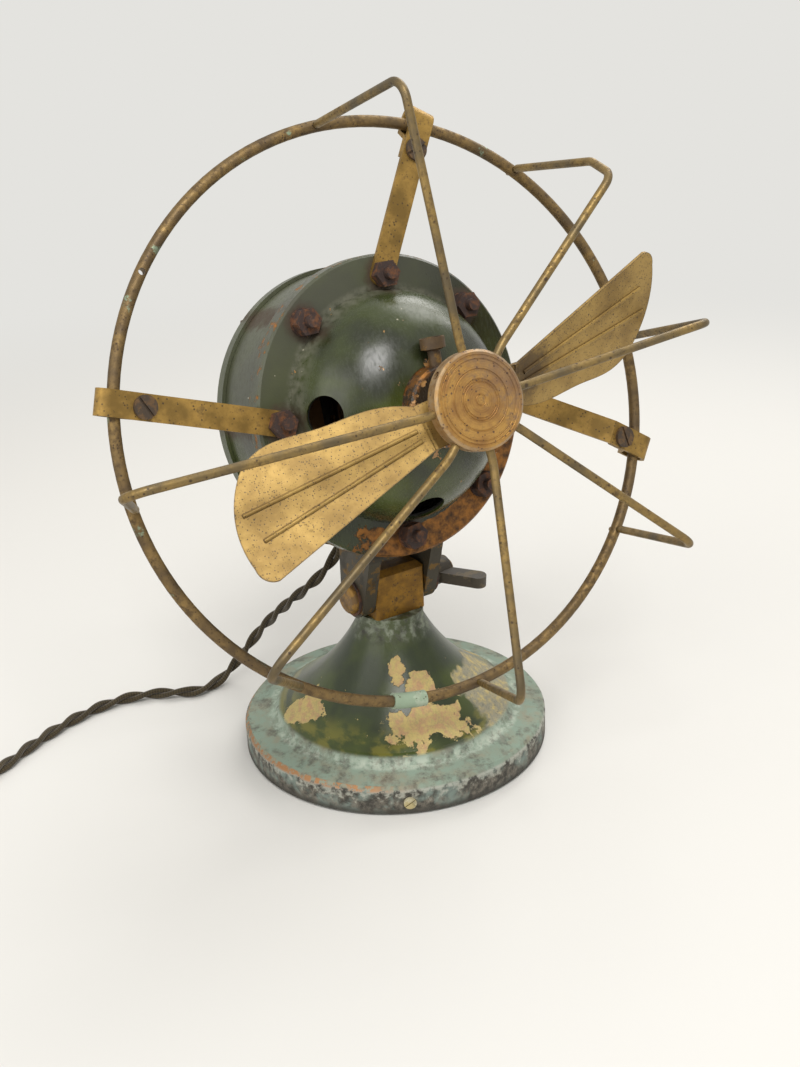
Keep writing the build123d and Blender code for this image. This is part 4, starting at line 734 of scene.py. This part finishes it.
@dataclass(frozen=True)
class Moulding(Finish):
    """Early black moulding: gloss that has gone brown and dull in patches, with fine scratches."""

    face: Colour = tone(30, 25, 22)
    faded: Colour = tone(68, 52, 40)
    rough: float = 0.26

    def material(self) -> bpy.types.Material:
        """Faded clouds over the black, and scratches in the gloss."""
        paint = Paint(self.name)
        place = paint.object_place()
        cloud = paint.noise(place, 8 * MM, 5, 0.6)
        scratch = paint.noise(paint.stretch(place, (0.2, 1.0, 1.0)), 0.8 * MM, 4, 0.7)
        colour = paint.mix(cloud.step(0.45, 0.72) * 0.6, self.face, self.faded)
        rough = self.rough + cloud.step(0.4, 0.7) * 0.2 + scratch.step(0.5, 0.7) * 0.15
        return paint.surface(colour, rough, 0.0, scratch * 0.4 + cloud * 0.3, 0.05 * MM)


# ============================================================================ meshes
def new_piece(
    name: str, points: np.ndarray, faces: np.ndarray, chart: np.ndarray | None = None
) -> bpy.types.Object:
    """Put points and quads into a smooth-shaded mesh object.

    Args:
        name: the piece's name.
        points: n by 3 array.
        faces: m by 4 array of indices, which point outwards.
        chart: m by 4 by 2 array of map coordinates, if the finish reads them.

    Returns:
        The object, linked to the scene, with its place in its mesh.
    """
    mesh = bpy.data.meshes.new(name)
    mesh.from_pydata(points.tolist(), [], faces.tolist())
    mesh.polygons.foreach_set("use_smooth", np.ones(len(faces), bool))
    if chart is not None:
        layer = mesh.uv_layers.new(name="UVMap")
        layer.data.foreach_set("uv", chart.astype(np.float32).ravel())
    mesh.update()
    piece = bpy.data.objects.new(name, mesh)
    bpy.context.scene.collection.objects.link(piece)
    return piece


def tube_faces(rows: int, ring: int) -> np.ndarray:
    """Quads between rings of points: row r, place k joins row r + 1, place k + 1, round and round."""
    row, place = np.meshgrid(np.arange(rows - 1), np.arange(ring), indexing="ij")
    after = (place + 1) % ring
    corners = (row * ring + place, (row + 1) * ring + place, (row + 1) * ring + after, row * ring + after)
    return np.stack(corners, axis=-1).reshape(-1, 4)


def tube_chart(rows: int, ring: int, along: np.ndarray) -> np.ndarray:
    """Map of a tube: across runs once round each ring, up is the distance along."""
    row, place = np.meshgrid(np.arange(rows - 1), np.arange(ring), indexing="ij")
    around = np.stack([place, place, place + 1, place + 1], axis=-1) / ring
    up = np.stack([along[row], along[row + 1], along[row + 1], along[row]], axis=-1)
    return np.stack([around, up], axis=-1).reshape(-1, 4, 2)


def carried_frame(path: np.ndarray) -> tuple[np.ndarray, np.ndarray]:
    """Side and up directions along a path that don't twist about it.

    The side is first the level one, the path's direction crossed with straight up. How fast that
    pair turns about the path is the side's change along up, and its running sum is taken back out.
    """
    along = np.gradient(path, axis=0)
    along /= np.linalg.norm(along, axis=1, keepdims=True)
    side = np.cross(along, (0.0, 0.0, 1.0))
    side /= np.linalg.norm(side, axis=1, keepdims=True)
    up = np.cross(side, along)
    turn = -np.cumsum((np.gradient(side, axis=0) * up).sum(axis=1))[:, None]
    return side * np.cos(turn) + up * np.sin(turn), up * np.cos(turn) - side * np.sin(turn)


def even_points(path: np.ndarray, spacing: float) -> tuple[np.ndarray, np.ndarray]:
    """Points at an even spacing along a path, and how far along each one is."""
    reach = np.concatenate([[0.0], np.cumsum(np.linalg.norm(np.diff(path, axis=0), axis=1))])
    stations = np.linspace(0.0, reach[-1], int(reach[-1] / spacing) + 1)
    return np.stack([np.interp(stations, reach, path[:, axis]) for axis in range(3)], axis=1), stations


# ============================================================================ assemblies
@dataclass
class Assembly:
    """A group of pieces on one body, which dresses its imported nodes."""

    body: str

    def dress(self, finish: Finish, *nodes: str) -> None:
        """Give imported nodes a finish.

        Args:
            finish: the finish, made once for all of them.
            nodes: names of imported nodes.
        """
        material = finish.material()
        for name in nodes:
            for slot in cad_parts[name].material_slots:
                slot.material = material
            LOG.info("%s dressed as %s", name, finish.name)

    def add(self, piece: bpy.types.Object, slot: str, finish: Finish, *replaced: str) -> bpy.types.Object:
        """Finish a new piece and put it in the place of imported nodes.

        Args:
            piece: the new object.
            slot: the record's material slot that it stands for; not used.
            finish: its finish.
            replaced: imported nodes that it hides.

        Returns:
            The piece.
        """
        piece.data.materials.append(finish.material())
        self.carry(piece)
        if replaced:
            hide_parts(*replaced)
        LOG.info("%s made, %d faces", piece.name, len(piece.data.polygons))
        return piece


    def carry(self, piece: bpy.types.Object) -> None:
        """Let the piece move with this assembly's body."""
        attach(piece, self.body)


@dataclass
class MotorHousing(Assembly):
    """The casings of the motor with their studs, nuts, bearings and oil cups."""

    body: str = "head"

    def build(self) -> None:
        """Dress the casings and what holds them together."""
        self.dress(MotorEnamel("motor enamel"), "front_shell", "motor_drum")
        self.dress(MotorEnamel("rear enamel", wear=0.35), "rear_shell")
        self.dress(RustySteel("rusty nuts"), "housing_studs", "front_washers", "front_nuts", "rear_nuts")
        self.dress(OldMetal("oily bronze", tone(86, 66, 40), tone(140, 108, 60)), "front_bush", "rear_bush",
                   "front_oil_cup", "rear_oil_cup")
        self.dress(Moulding("cord bushing"), "cord_bushing")


@dataclass
class InnerMotor(Assembly):
    """Field and brush gear, which stand still inside the casings."""

    body: str = "head"

    def build(self) -> None:
        """Dress the iron, the windings and the brush gear."""
        sheets = Turns("field sheets", tone(92, 90, 88), tone(30, 28, 26), 1.0 * MM, metallic=0.7)
        self.dress(sheets, "field_core")
        self.dress(Turns("field wire", tone(120, 84, 44), tone(52, 34, 18), 1.3 * MM), "field_coils")
        self.dress(OldMetal("fibre board", tone(74, 44, 32), tone(98, 62, 44), metallic=0.0), "brush_yoke")
        self.dress(AgedBrass("brush holders"), "brush_holders")
        self.dress(OldMetal("carbon", tone(34, 34, 35), tone(60, 60, 62), metallic=0.3), "brushes")


@dataclass
class Rotor(Assembly):
    """What turns: shaft, armature, commutator, collar and propeller."""

    body: str = "rotor"

    def build(self) -> None:
        """Dress the turning parts."""
        blade = AgedBrass(
            "blade brass", tone(168, 138, 76), tone(134, 107, 56), look=BrassLook.BLADE, blot=16 * MM,
            tarnish=0.16, speck=0.72 * MM, speck_share=0.62, rough=0.46, metallic=0.5,
        )
        self.dress(blade, "propeller")
        shaft = OldMetal("shaft steel", tone(110, 106, 98), tone(150, 146, 138), metallic=0.9)
        self.dress(shaft, "rotor_shaft")
        collar = OldMetal("collar", tone(74, 62, 44), tone(128, 100, 56))
        self.dress(collar, "propeller_collar", "collar_screw")
        sheets = Turns("armature sheets", tone(92, 90, 88), tone(30, 28, 26), 1.0 * MM, metallic=0.7)
        self.dress(sheets, "armature_core")
        wound = Turns("armature wire", tone(120, 84, 44), tone(52, 34, 18), 1.3 * MM, radial=True)
        self.dress(wound, "armature_winding")
        bars = OldMetal("commutator copper", tone(128, 84, 58), tone(176, 120, 84), metallic=0.9)
        self.dress(bars, "commutator")


@dataclass
class Guard(Assembly):
    """The wire guard: ring, ferrule, seven wires, hub disc and the straps that carry the ring."""

    body: str = "head"
    wires: int = 7

    def build(self) -> None:
        """Dress the guard."""
        ring = AgedBrass("ring brass", tone(142, 116, 70), tone(92, 76, 54), blot=14 * MM,
                         tarnish=0.42, green=0.35, rough=0.46, metallic=0.6)
        self.dress(ring, "guard_ring")
        ferrule = AgedBrass(
            "ferrule", tone(168, 182, 160), tone(136, 146, 124), tone(84, 76, 58), tarnish=0.1,
            green=0.9, rough=0.6, metallic=0.1,
        )
        self.dress(ferrule, "ring_ferrule")
        wire = AgedBrass("wire brass", tone(150, 124, 72), tone(98, 86, 64), blot=18 * MM,
                         tarnish=0.35, speck=1.4 * MM, rough=0.42, metallic=0.65)
        self.dress(wire, *[f"guard_wire_{number}" for number in range(1, self.wires + 1)])
        hub = AgedBrass(
            "hub brass", tone(184, 142, 76), tone(150, 110, 62), tone(78, 56, 44), look=BrassLook.HUB,
            blot=7 * MM, tarnish=0.3, speck=1.2 * MM, speck_share=0.35, rough=0.4, metallic=0.6,
        )
        self.dress(hub, "guard_hub")
        strap = AgedBrass("strap brass", tone(168, 134, 68), tone(124, 98, 48), blot=10 * MM,
                          tarnish=0.3, rough=0.44, metallic=0.6)
        self.dress(strap, "strap_top", "strap_left", "strap_right")
        self.dress(RustySteel("strap screws", tone(66, 54, 42), tone(104, 78, 48), tone(140, 112, 70), 0.6),
                   "strap_screws", "strap_nuts")


@dataclass
class Pivot(Assembly):
    """The fork under the motor with the bolt that it tilts on."""

    body: str = "head"

    def build(self) -> None:
        """Dress the fork and its hardware."""
        iron = OldMetal("fork iron", tone(58, 52, 38), tone(122, 94, 50), amount=0.38)
        self.dress(iron, "tilt_fork")
        self.dress(OldMetal("fork screws", tone(96, 92, 86), tone(130, 126, 118)), "fork_screws")
        self.dress(OldMetal("bolt brass", tone(112, 84, 44), tone(156, 120, 62), amount=0.6), "tilt_bolt")
        self.dress(RustySteel("lug washers"), "lug_washers")


@dataclass
class WingNut(Assembly):
    """The wing nut, which turns on the bolt by hand."""

    body: str = "nut"

    def build(self) -> None:
        """Dress the nut."""
        nut = OldMetal("wing nut", tone(66, 59, 47), tone(104, 94, 76), amount=0.42, rough=0.42)
        self.dress(nut, "wing_nut")


@dataclass
class Base(Assembly):
    """Trumpet base with its weight, felt, screws, and the brass block that carries the head."""

    body: str = "base"
    felt_radius: float = 63.5 * MM
    felt_thick: float = 2.0 * MM
    felt_edge: float = 0.7 * MM
    felt_segments: int = 160

    def felt(self) -> bpy.types.Object:
        """The pad as a profile turned about the upright axis.

        The profile goes from the middle of the underside out, round an edge that is a half circle
        flattened a little, and back to the middle of the top. A sum of sines round the edge makes
        it as uneven as hand-cut felt.
        """
        half = self.felt_thick / 2
        bend = np.linspace(-math.pi / 2, math.pi / 2, 9)
        flat = np.linspace(0.0, 1.0, 7)[1:-1] * (self.felt_radius - self.felt_edge)
        radii = np.concatenate([flat, self.felt_radius - self.felt_edge * (1 - np.cos(bend)), flat[::-1]])
        edge_heights = half + half * np.sin(bend)
        heights = np.concatenate([np.zeros_like(flat), edge_heights, np.full_like(flat, 2 * half)])
        turn = np.linspace(0.0, 2 * math.pi, self.felt_segments, endpoint=False)
        uneven = (np.sin(7 * turn) + 0.6 * np.sin(19 * turn + 1) + 0.4 * np.sin(43 * turn)) * 0.12 * MM
        wide = radii[:, None] - (uneven[None, :] + 0.24 * MM) * (radii[:, None] / self.felt_radius) ** 6
        level = np.repeat(heights[:, None], len(turn), 1)
        points = np.stack([wide * np.cos(turn), wide * np.sin(turn), level], -1)
        faces = tube_faces(len(radii), self.felt_segments)[:, ::-1]
        flat_points = points.reshape(-1, 3)
        last = len(flat_points)
        middles = np.array([[0.0, 0.0, 0.0], [0.0, 0.0, self.felt_thick]])
        place = np.arange(self.felt_segments)
        after = (place + 1) % self.felt_segments
        top = (len(radii) - 1) * self.felt_segments
        under_fan = np.stack([np.full_like(place, last), after, place], -1)
        over_fan = np.stack([np.full_like(place, last + 1), top + place, top + after], -1)
        mesh_faces = faces.tolist() + under_fan.tolist() + over_fan.tolist()
        mesh = bpy.data.meshes.new("felt_disc")
        mesh.from_pydata(np.vstack([flat_points, middles]).tolist(), [], mesh_faces)
        mesh.polygons.foreach_set("use_smooth", np.ones(len(mesh_faces), bool))
        mesh.update()
        piece = bpy.data.objects.new("felt_disc", mesh)
        bpy.context.scene.collection.objects.link(piece)
        return piece

    def build(self) -> None:
        """Dress the base and make its felt."""
        self.dress(BaseEnamel("base enamel"), "base_shell")
        iron = OldMetal("cast weight", tone(62, 58, 52), tone(92, 66, 48), metallic=0.2, rough=0.6)
        self.dress(iron, "base_weight")
        block = AgedBrass("block brass", tone(150, 110, 34), tone(112, 80, 28), blot=8 * MM, tarnish=0.35,
                          rough=0.44, metallic=0.55)
        self.dress(block, "post_block")
        self.dress(OldMetal("plain steel", tone(104, 102, 98), tone(140, 138, 132), metallic=0.8),
                   "post_stud", "post_nut")
        self.dress(OldMetal("rim screws", tone(178, 164, 118), tone(200, 192, 160), amount=0.5, metallic=0.3),
                   "rim_screws")
        self.add(self.felt(), "felt", Felt("matted felt"), "felt_pad")


@dataclass
class PowerCord(Assembly):
    """Twisted pair of cloth-covered wires: out of the rear casing, along the table, coiled, to a plug.

    The route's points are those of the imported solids. The coil spirals in on the table in half
    circles and out again on top of itself.
    """

    body: str = "base"
    radius: float = 2.6 * MM
    lie: float = 2.65 * MM
    pitch: float = 29.0 * MM
    spacing: float = 1.3 * MM
    ring: int = 12
    start: Point = (0.0, 29.75, 103.33)
    leaving: Point = (0.0, 0.4806, -0.8769)
    nose: float = 7.0
    first_run: float = 11.0
    route: tuple[Point, ...] = (
        (-4, 36.5, 74.5), (-14.6, 43, 60.7), (-19.3, 60, 46.1), (-25.1, 80, 26.2), (-33, 84, 14.5),
        (-46, 84.8, 2.65), (-60.5, 81, 2.65), (-74, 90.5, 2.65), (-88, 97, 2.65), (-104, 97.6, 2.65),
        (-122, 93, 2.65), (-141, 84.5, 2.65), (-160, 72.9, 2.65), (-182, 62.5, 2.65), (-205, 54, 2.65),
    )
    coil_radius: float = 42.5
    coil_pitch: float = 7.0
    coil_layer: float = 5.9
    half_turns: int = 16
    straight: float = 5.2
    tail_run: float = 22.0
    plug_height: float = 11.5
    coil_points: int = 8
    tilt_from: Point = (0.0, 0.03312, 0.09719)
    tilt_to: Point = (-0.0251, 0.080, 0.0262)

    def carry(self, piece: bpy.types.Object) -> None:
        """Bake the cord's placement into its mesh; it is attached to no body."""
        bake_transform(piece)

    def coil_station(self, step: int, middle: np.ndarray, inward: np.ndarray) -> np.ndarray:
        """End of a half turn: a loop's radius from the middle, to one side and then the other."""
        inner = self.half_turns // 2
        sink = min(step, inner) - max(step - inner - 1, 0)
        side = -1 if step % 2 else 1
        lift = self.coil_layer if step > inner else 0.0
        reach = self.coil_radius - sink * self.coil_pitch / 2
        return middle - inward * side * reach + np.array((0, 0, lift))

    def control_points(self) -> np.ndarray:
        """The whole route in millimetres: the run to the coil, its half turns, and the tail to the plug."""
        leave = np.array(self.leaving) / np.linalg.norm(self.leaving)
        begin = np.array(self.start) + leave * self.nose
        run = [begin, begin + leave * self.first_run, *[np.array(point, float) for point in self.route]]
        travel = (run[-1] - run[-2]) / np.linalg.norm(run[-1] - run[-2])
        inward = np.array((travel[1], -travel[0], 0.0))
        middle = run[-1] + travel * self.straight + inward * self.coil_radius
        part = (np.arange(self.coil_points) / self.coil_points * math.pi)[:, None]
        turns = []
        for step in range(self.half_turns):
            first, last = (self.coil_station(step + more, middle, inward) for more in (0, 1))
            centre = (first + last) / 2
            bulge = travel * (-1 if step % 2 else 1) * np.linalg.norm(last - first) / 2
            turns.append(centre + (first - centre) * np.cos(part) + bulge * np.sin(part))
        leave_coil = self.coil_station(self.half_turns, middle, inward)
        coil_exit = leave_coil + travel * self.straight
        bend = inward * 0.12
        second = coil_exit + travel * self.tail_run
        third = second + (travel - bend) / np.linalg.norm(travel - bend) * self.tail_run
        third[2] = self.plug_height
        away = (travel - bend * 2) / np.linalg.norm(travel - bend * 2)
        tail = [leave_coil, coil_exit, second, third, third + away * self.tail_run]
        return np.vstack([np.array(run), *turns, np.array(tail)])

    def centreline(self) -> np.ndarray:
        """Points of the smooth line through the route, read back from a NURBS curve, in metres."""
        control = self.control_points() * MM
        curve = bpy.data.curves.new("cord_route", "CURVE")
        curve.dimensions = "3D"
        spline = curve.splines.new("NURBS")
        spline.points.add(len(control) - 1)
        spline.points.foreach_set("co", np.column_stack([control, np.ones(len(control))]).ravel())
        spline.order_u = 3
        spline.use_endpoint_u = True
        spline.resolution_u = 16
        holder = bpy.data.objects.new("cord_route", curve)
        bpy.context.scene.collection.objects.link(holder)
        bpy.context.view_layer.update()
        mesh = bpy.data.meshes.new_from_object(holder)
        line = np.zeros(len(mesh.vertices) * 3)
        mesh.vertices.foreach_get("co", line)
        bpy.data.objects.remove(holder)
        bpy.data.curves.remove(curve)
        bpy.data.meshes.remove(mesh)
        return line.reshape(-1, 3)

    def strands(self, path: np.ndarray, reach: np.ndarray) -> bpy.types.Object:
        """Two strands wound round the line.

        A strand's middle is the line plus half the cord's radius at an angle that grows one turn
        per pitch, with the other strand half a turn away. Round that middle runs a circle of half
        the cord's radius.
        """
        side, up = carried_frame(path)
        strand = self.radius / 2
        turn = np.linspace(0.0, 2 * math.pi, self.ring, endpoint=False)
        cos, sin = np.cos(turn)[None, :, None], np.sin(turn)[None, :, None]
        circle = side[:, None, :] * cos + up[:, None, :] * sin
        points, faces, charts = [], [], []
        rows = len(path)
        for start in (0.0, math.pi):
            wind = (reach / self.pitch * 2 * math.pi + start)[:, None]
            middle = path + strand * (side * np.cos(wind) + up * np.sin(wind))
            faces.append(tube_faces(rows, self.ring) + sum(len(block) for block in points))
            points.append((middle[:, None, :] + strand * circle).reshape(-1, 3))
            charts.append(tube_chart(rows, self.ring, reach / (2 * math.pi * strand)))
        return new_piece("twisted_cord", np.vstack(points), np.vstack(faces), np.vstack(charts))

    def build(self) -> None:
        path, reach = even_points(self.centreline(), self.spacing)
        piece = self.strands(path, reach)
        self.add(piece, "cord_cloth", ClothCord("braided cloth"), "power_cord", "cord_coil", "cord_tail")
        self.dress(Moulding("plug moulding"), "plug_body")
        self.dress(AgedBrass("plug pins", tone(186, 156, 84), tone(150, 122, 62), tarnish=0.15, metallic=0.9),
                   "plug_pins")
        LOG.info("cord is %.3f m long", reach[-1])


# ============================================================================ studio
@dataclass(frozen=True)
class Lamp:
    """A square soft light."""

    name: str
    place: Point
    power: float
    size: float
    colour: tuple[float, float, float] = (1.0, 0.98, 0.95)
    aim: Point = (0.0, -0.01, 0.13)

    def light(self) -> None:
        """Hang the lamp and turn it to its aim."""
        data = bpy.data.lights.new(self.name, "AREA")
        data.energy = self.power
        data.size = self.size
        data.color = self.colour
        lamp = bpy.data.objects.new(self.name, data)
        lamp.location = self.place
        lamp.rotation_euler = (Vector(self.aim) - Vector(self.place)).to_track_quat("-Z", "Y").to_euler()
        bpy.context.scene.collection.objects.link(lamp)


@dataclass(frozen=True)
class Studio:
    """Pale floor, soft lamps and the photograph's camera."""

    seen: Colour = tone(228, 227, 223)
    floor: Colour = tone(222, 221, 217)
    world_light: float = 0.55
    floor_level: float = -0.2 * MM
    floor_reach: float = 3.0
    fade: tuple[float, float] = (0.35, 0.95)
    eye: Point = (-0.267292, -0.435742, 0.315581)
    target: Point = (0.00149582, -0.00857867, 0.09895248)
    roll: float = -0.04594
    focal: float = 1302.79857
    frame_height: float = 1067.0
    lamps: tuple[Lamp, ...] = (
        Lamp("key", (-0.25, -0.70, 1.20), 10.2, 0.55, (1.0, 0.985, 0.965)),
        Lamp("fill", (-1.10, -0.25, 0.70), 4.5, 0.9),
        Lamp("rim", (0.75, 0.35, 0.95), 6.0, 0.7),
    )

    def camera(self) -> None:
        """Set the camera where the photograph was taken from, turned by its small roll."""
        look = (Vector(self.target) - Vector(self.eye)).normalized()
        right = look.cross(Vector((0, 0, 1))).normalized()
        up = right.cross(look)
        cos, sin = math.cos(self.roll), math.sin(self.roll)
        across, upright = right * cos + up * sin, up * cos - right * sin
        data = bpy.data.cameras.new("photo camera")
        data.sensor_width = 36.0
        data.lens = self.focal * data.sensor_width / self.frame_height
        camera = bpy.data.objects.new("photo camera", data)
        turn = Matrix((across, upright, -look)).transposed().to_4x4()
        camera.matrix_world = Matrix.Translation(self.eye) @ turn
        bpy.context.scene.collection.objects.link(camera)
        bpy.context.scene.camera = camera

    def world(self) -> None:
        """Soft light all round, and the pale background where a ray from the camera or a gloss sees it."""
        world = bpy.data.worlds.new("studio")
        bpy.context.scene.world = world
        world.use_nodes = True
        tree = world.node_tree
        tree.nodes.clear()
        path = tree.nodes.new("ShaderNodeLightPath")
        lit, seen, mix = (tree.nodes.new(kind) for kind in
                          ("ShaderNodeBackground", "ShaderNodeBackground", "ShaderNodeMixShader"))
        lit.inputs["Color"].default_value = tone(255, 253, 250)
        lit.inputs["Strength"].default_value = self.world_light
        seen.inputs["Color"].default_value = self.seen
        either = tree.nodes.new("ShaderNodeMath")
        either.operation = "MAXIMUM"
        any_seen = tree.nodes.new("ShaderNodeMath")
        any_seen.operation = "MAXIMUM"
        tree.links.new(path.outputs["Is Camera Ray"], either.inputs[0])
        tree.links.new(path.outputs["Is Glossy Ray"], either.inputs[1])
        tree.links.new(either.outputs[0], any_seen.inputs[0])
        tree.links.new(path.outputs["Is Transmission Ray"], any_seen.inputs[1])
        tree.links.new(any_seen.outputs[0], mix.inputs[0])
        tree.links.new(lit.outputs[0], mix.inputs[1])
        tree.links.new(seen.outputs[0], mix.inputs[2])
        output = tree.nodes.new("ShaderNodeOutputWorld")
        tree.links.new(mix.outputs[0], output.inputs["Surface"])

    def ground(self) -> None:
        """Flat floor whose far part fades into the background."""
        reach = self.floor_reach
        corners = np.array([[-reach, -reach], [reach, -reach], [reach, reach], [-reach, reach]])
        points = np.column_stack([corners, np.full(4, self.floor_level)])
        floor = new_piece("floor", points, np.array([[0, 1, 2, 3]]))
        paint = Paint("pale floor")
        x, y, _ = paint.split(paint.object_place())
        far = (x * x + y * y).root().step(*self.fade)
        dull = paint.node("ShaderNodeBsdfDiffuse", inputs={"Color": self.floor})
        glow = paint.node("ShaderNodeEmission", inputs={"Color": self.seen, "Strength": 1.0})
        paint.node_output(paint.node("ShaderNodeMixShader", inputs={0: far, 1: dull, 2: glow}))
        floor.data.materials.append(paint.material)

    def build(self) -> None:
        """Set up the whole studio."""
        self.camera()
        self.world()
        self.ground()
        for lamp in self.lamps:
            lamp.light()
        bpy.context.scene.view_settings.view_transform = "Standard"


def main() -> None:
    """Set the studio, then build each assembly in order."""
    logging.basicConfig(level=logging.INFO, format="%(message)s")
    Studio().build()
    assemblies: Sequence[Assembly] = (
        PowerCord(), MotorHousing(), InnerMotor(), Rotor(), Guard(), Pivot(), WingNut(), Base(),
    )
    for assembly in assemblies:
        assembly.build()


if __name__ == "__main__":
    main()
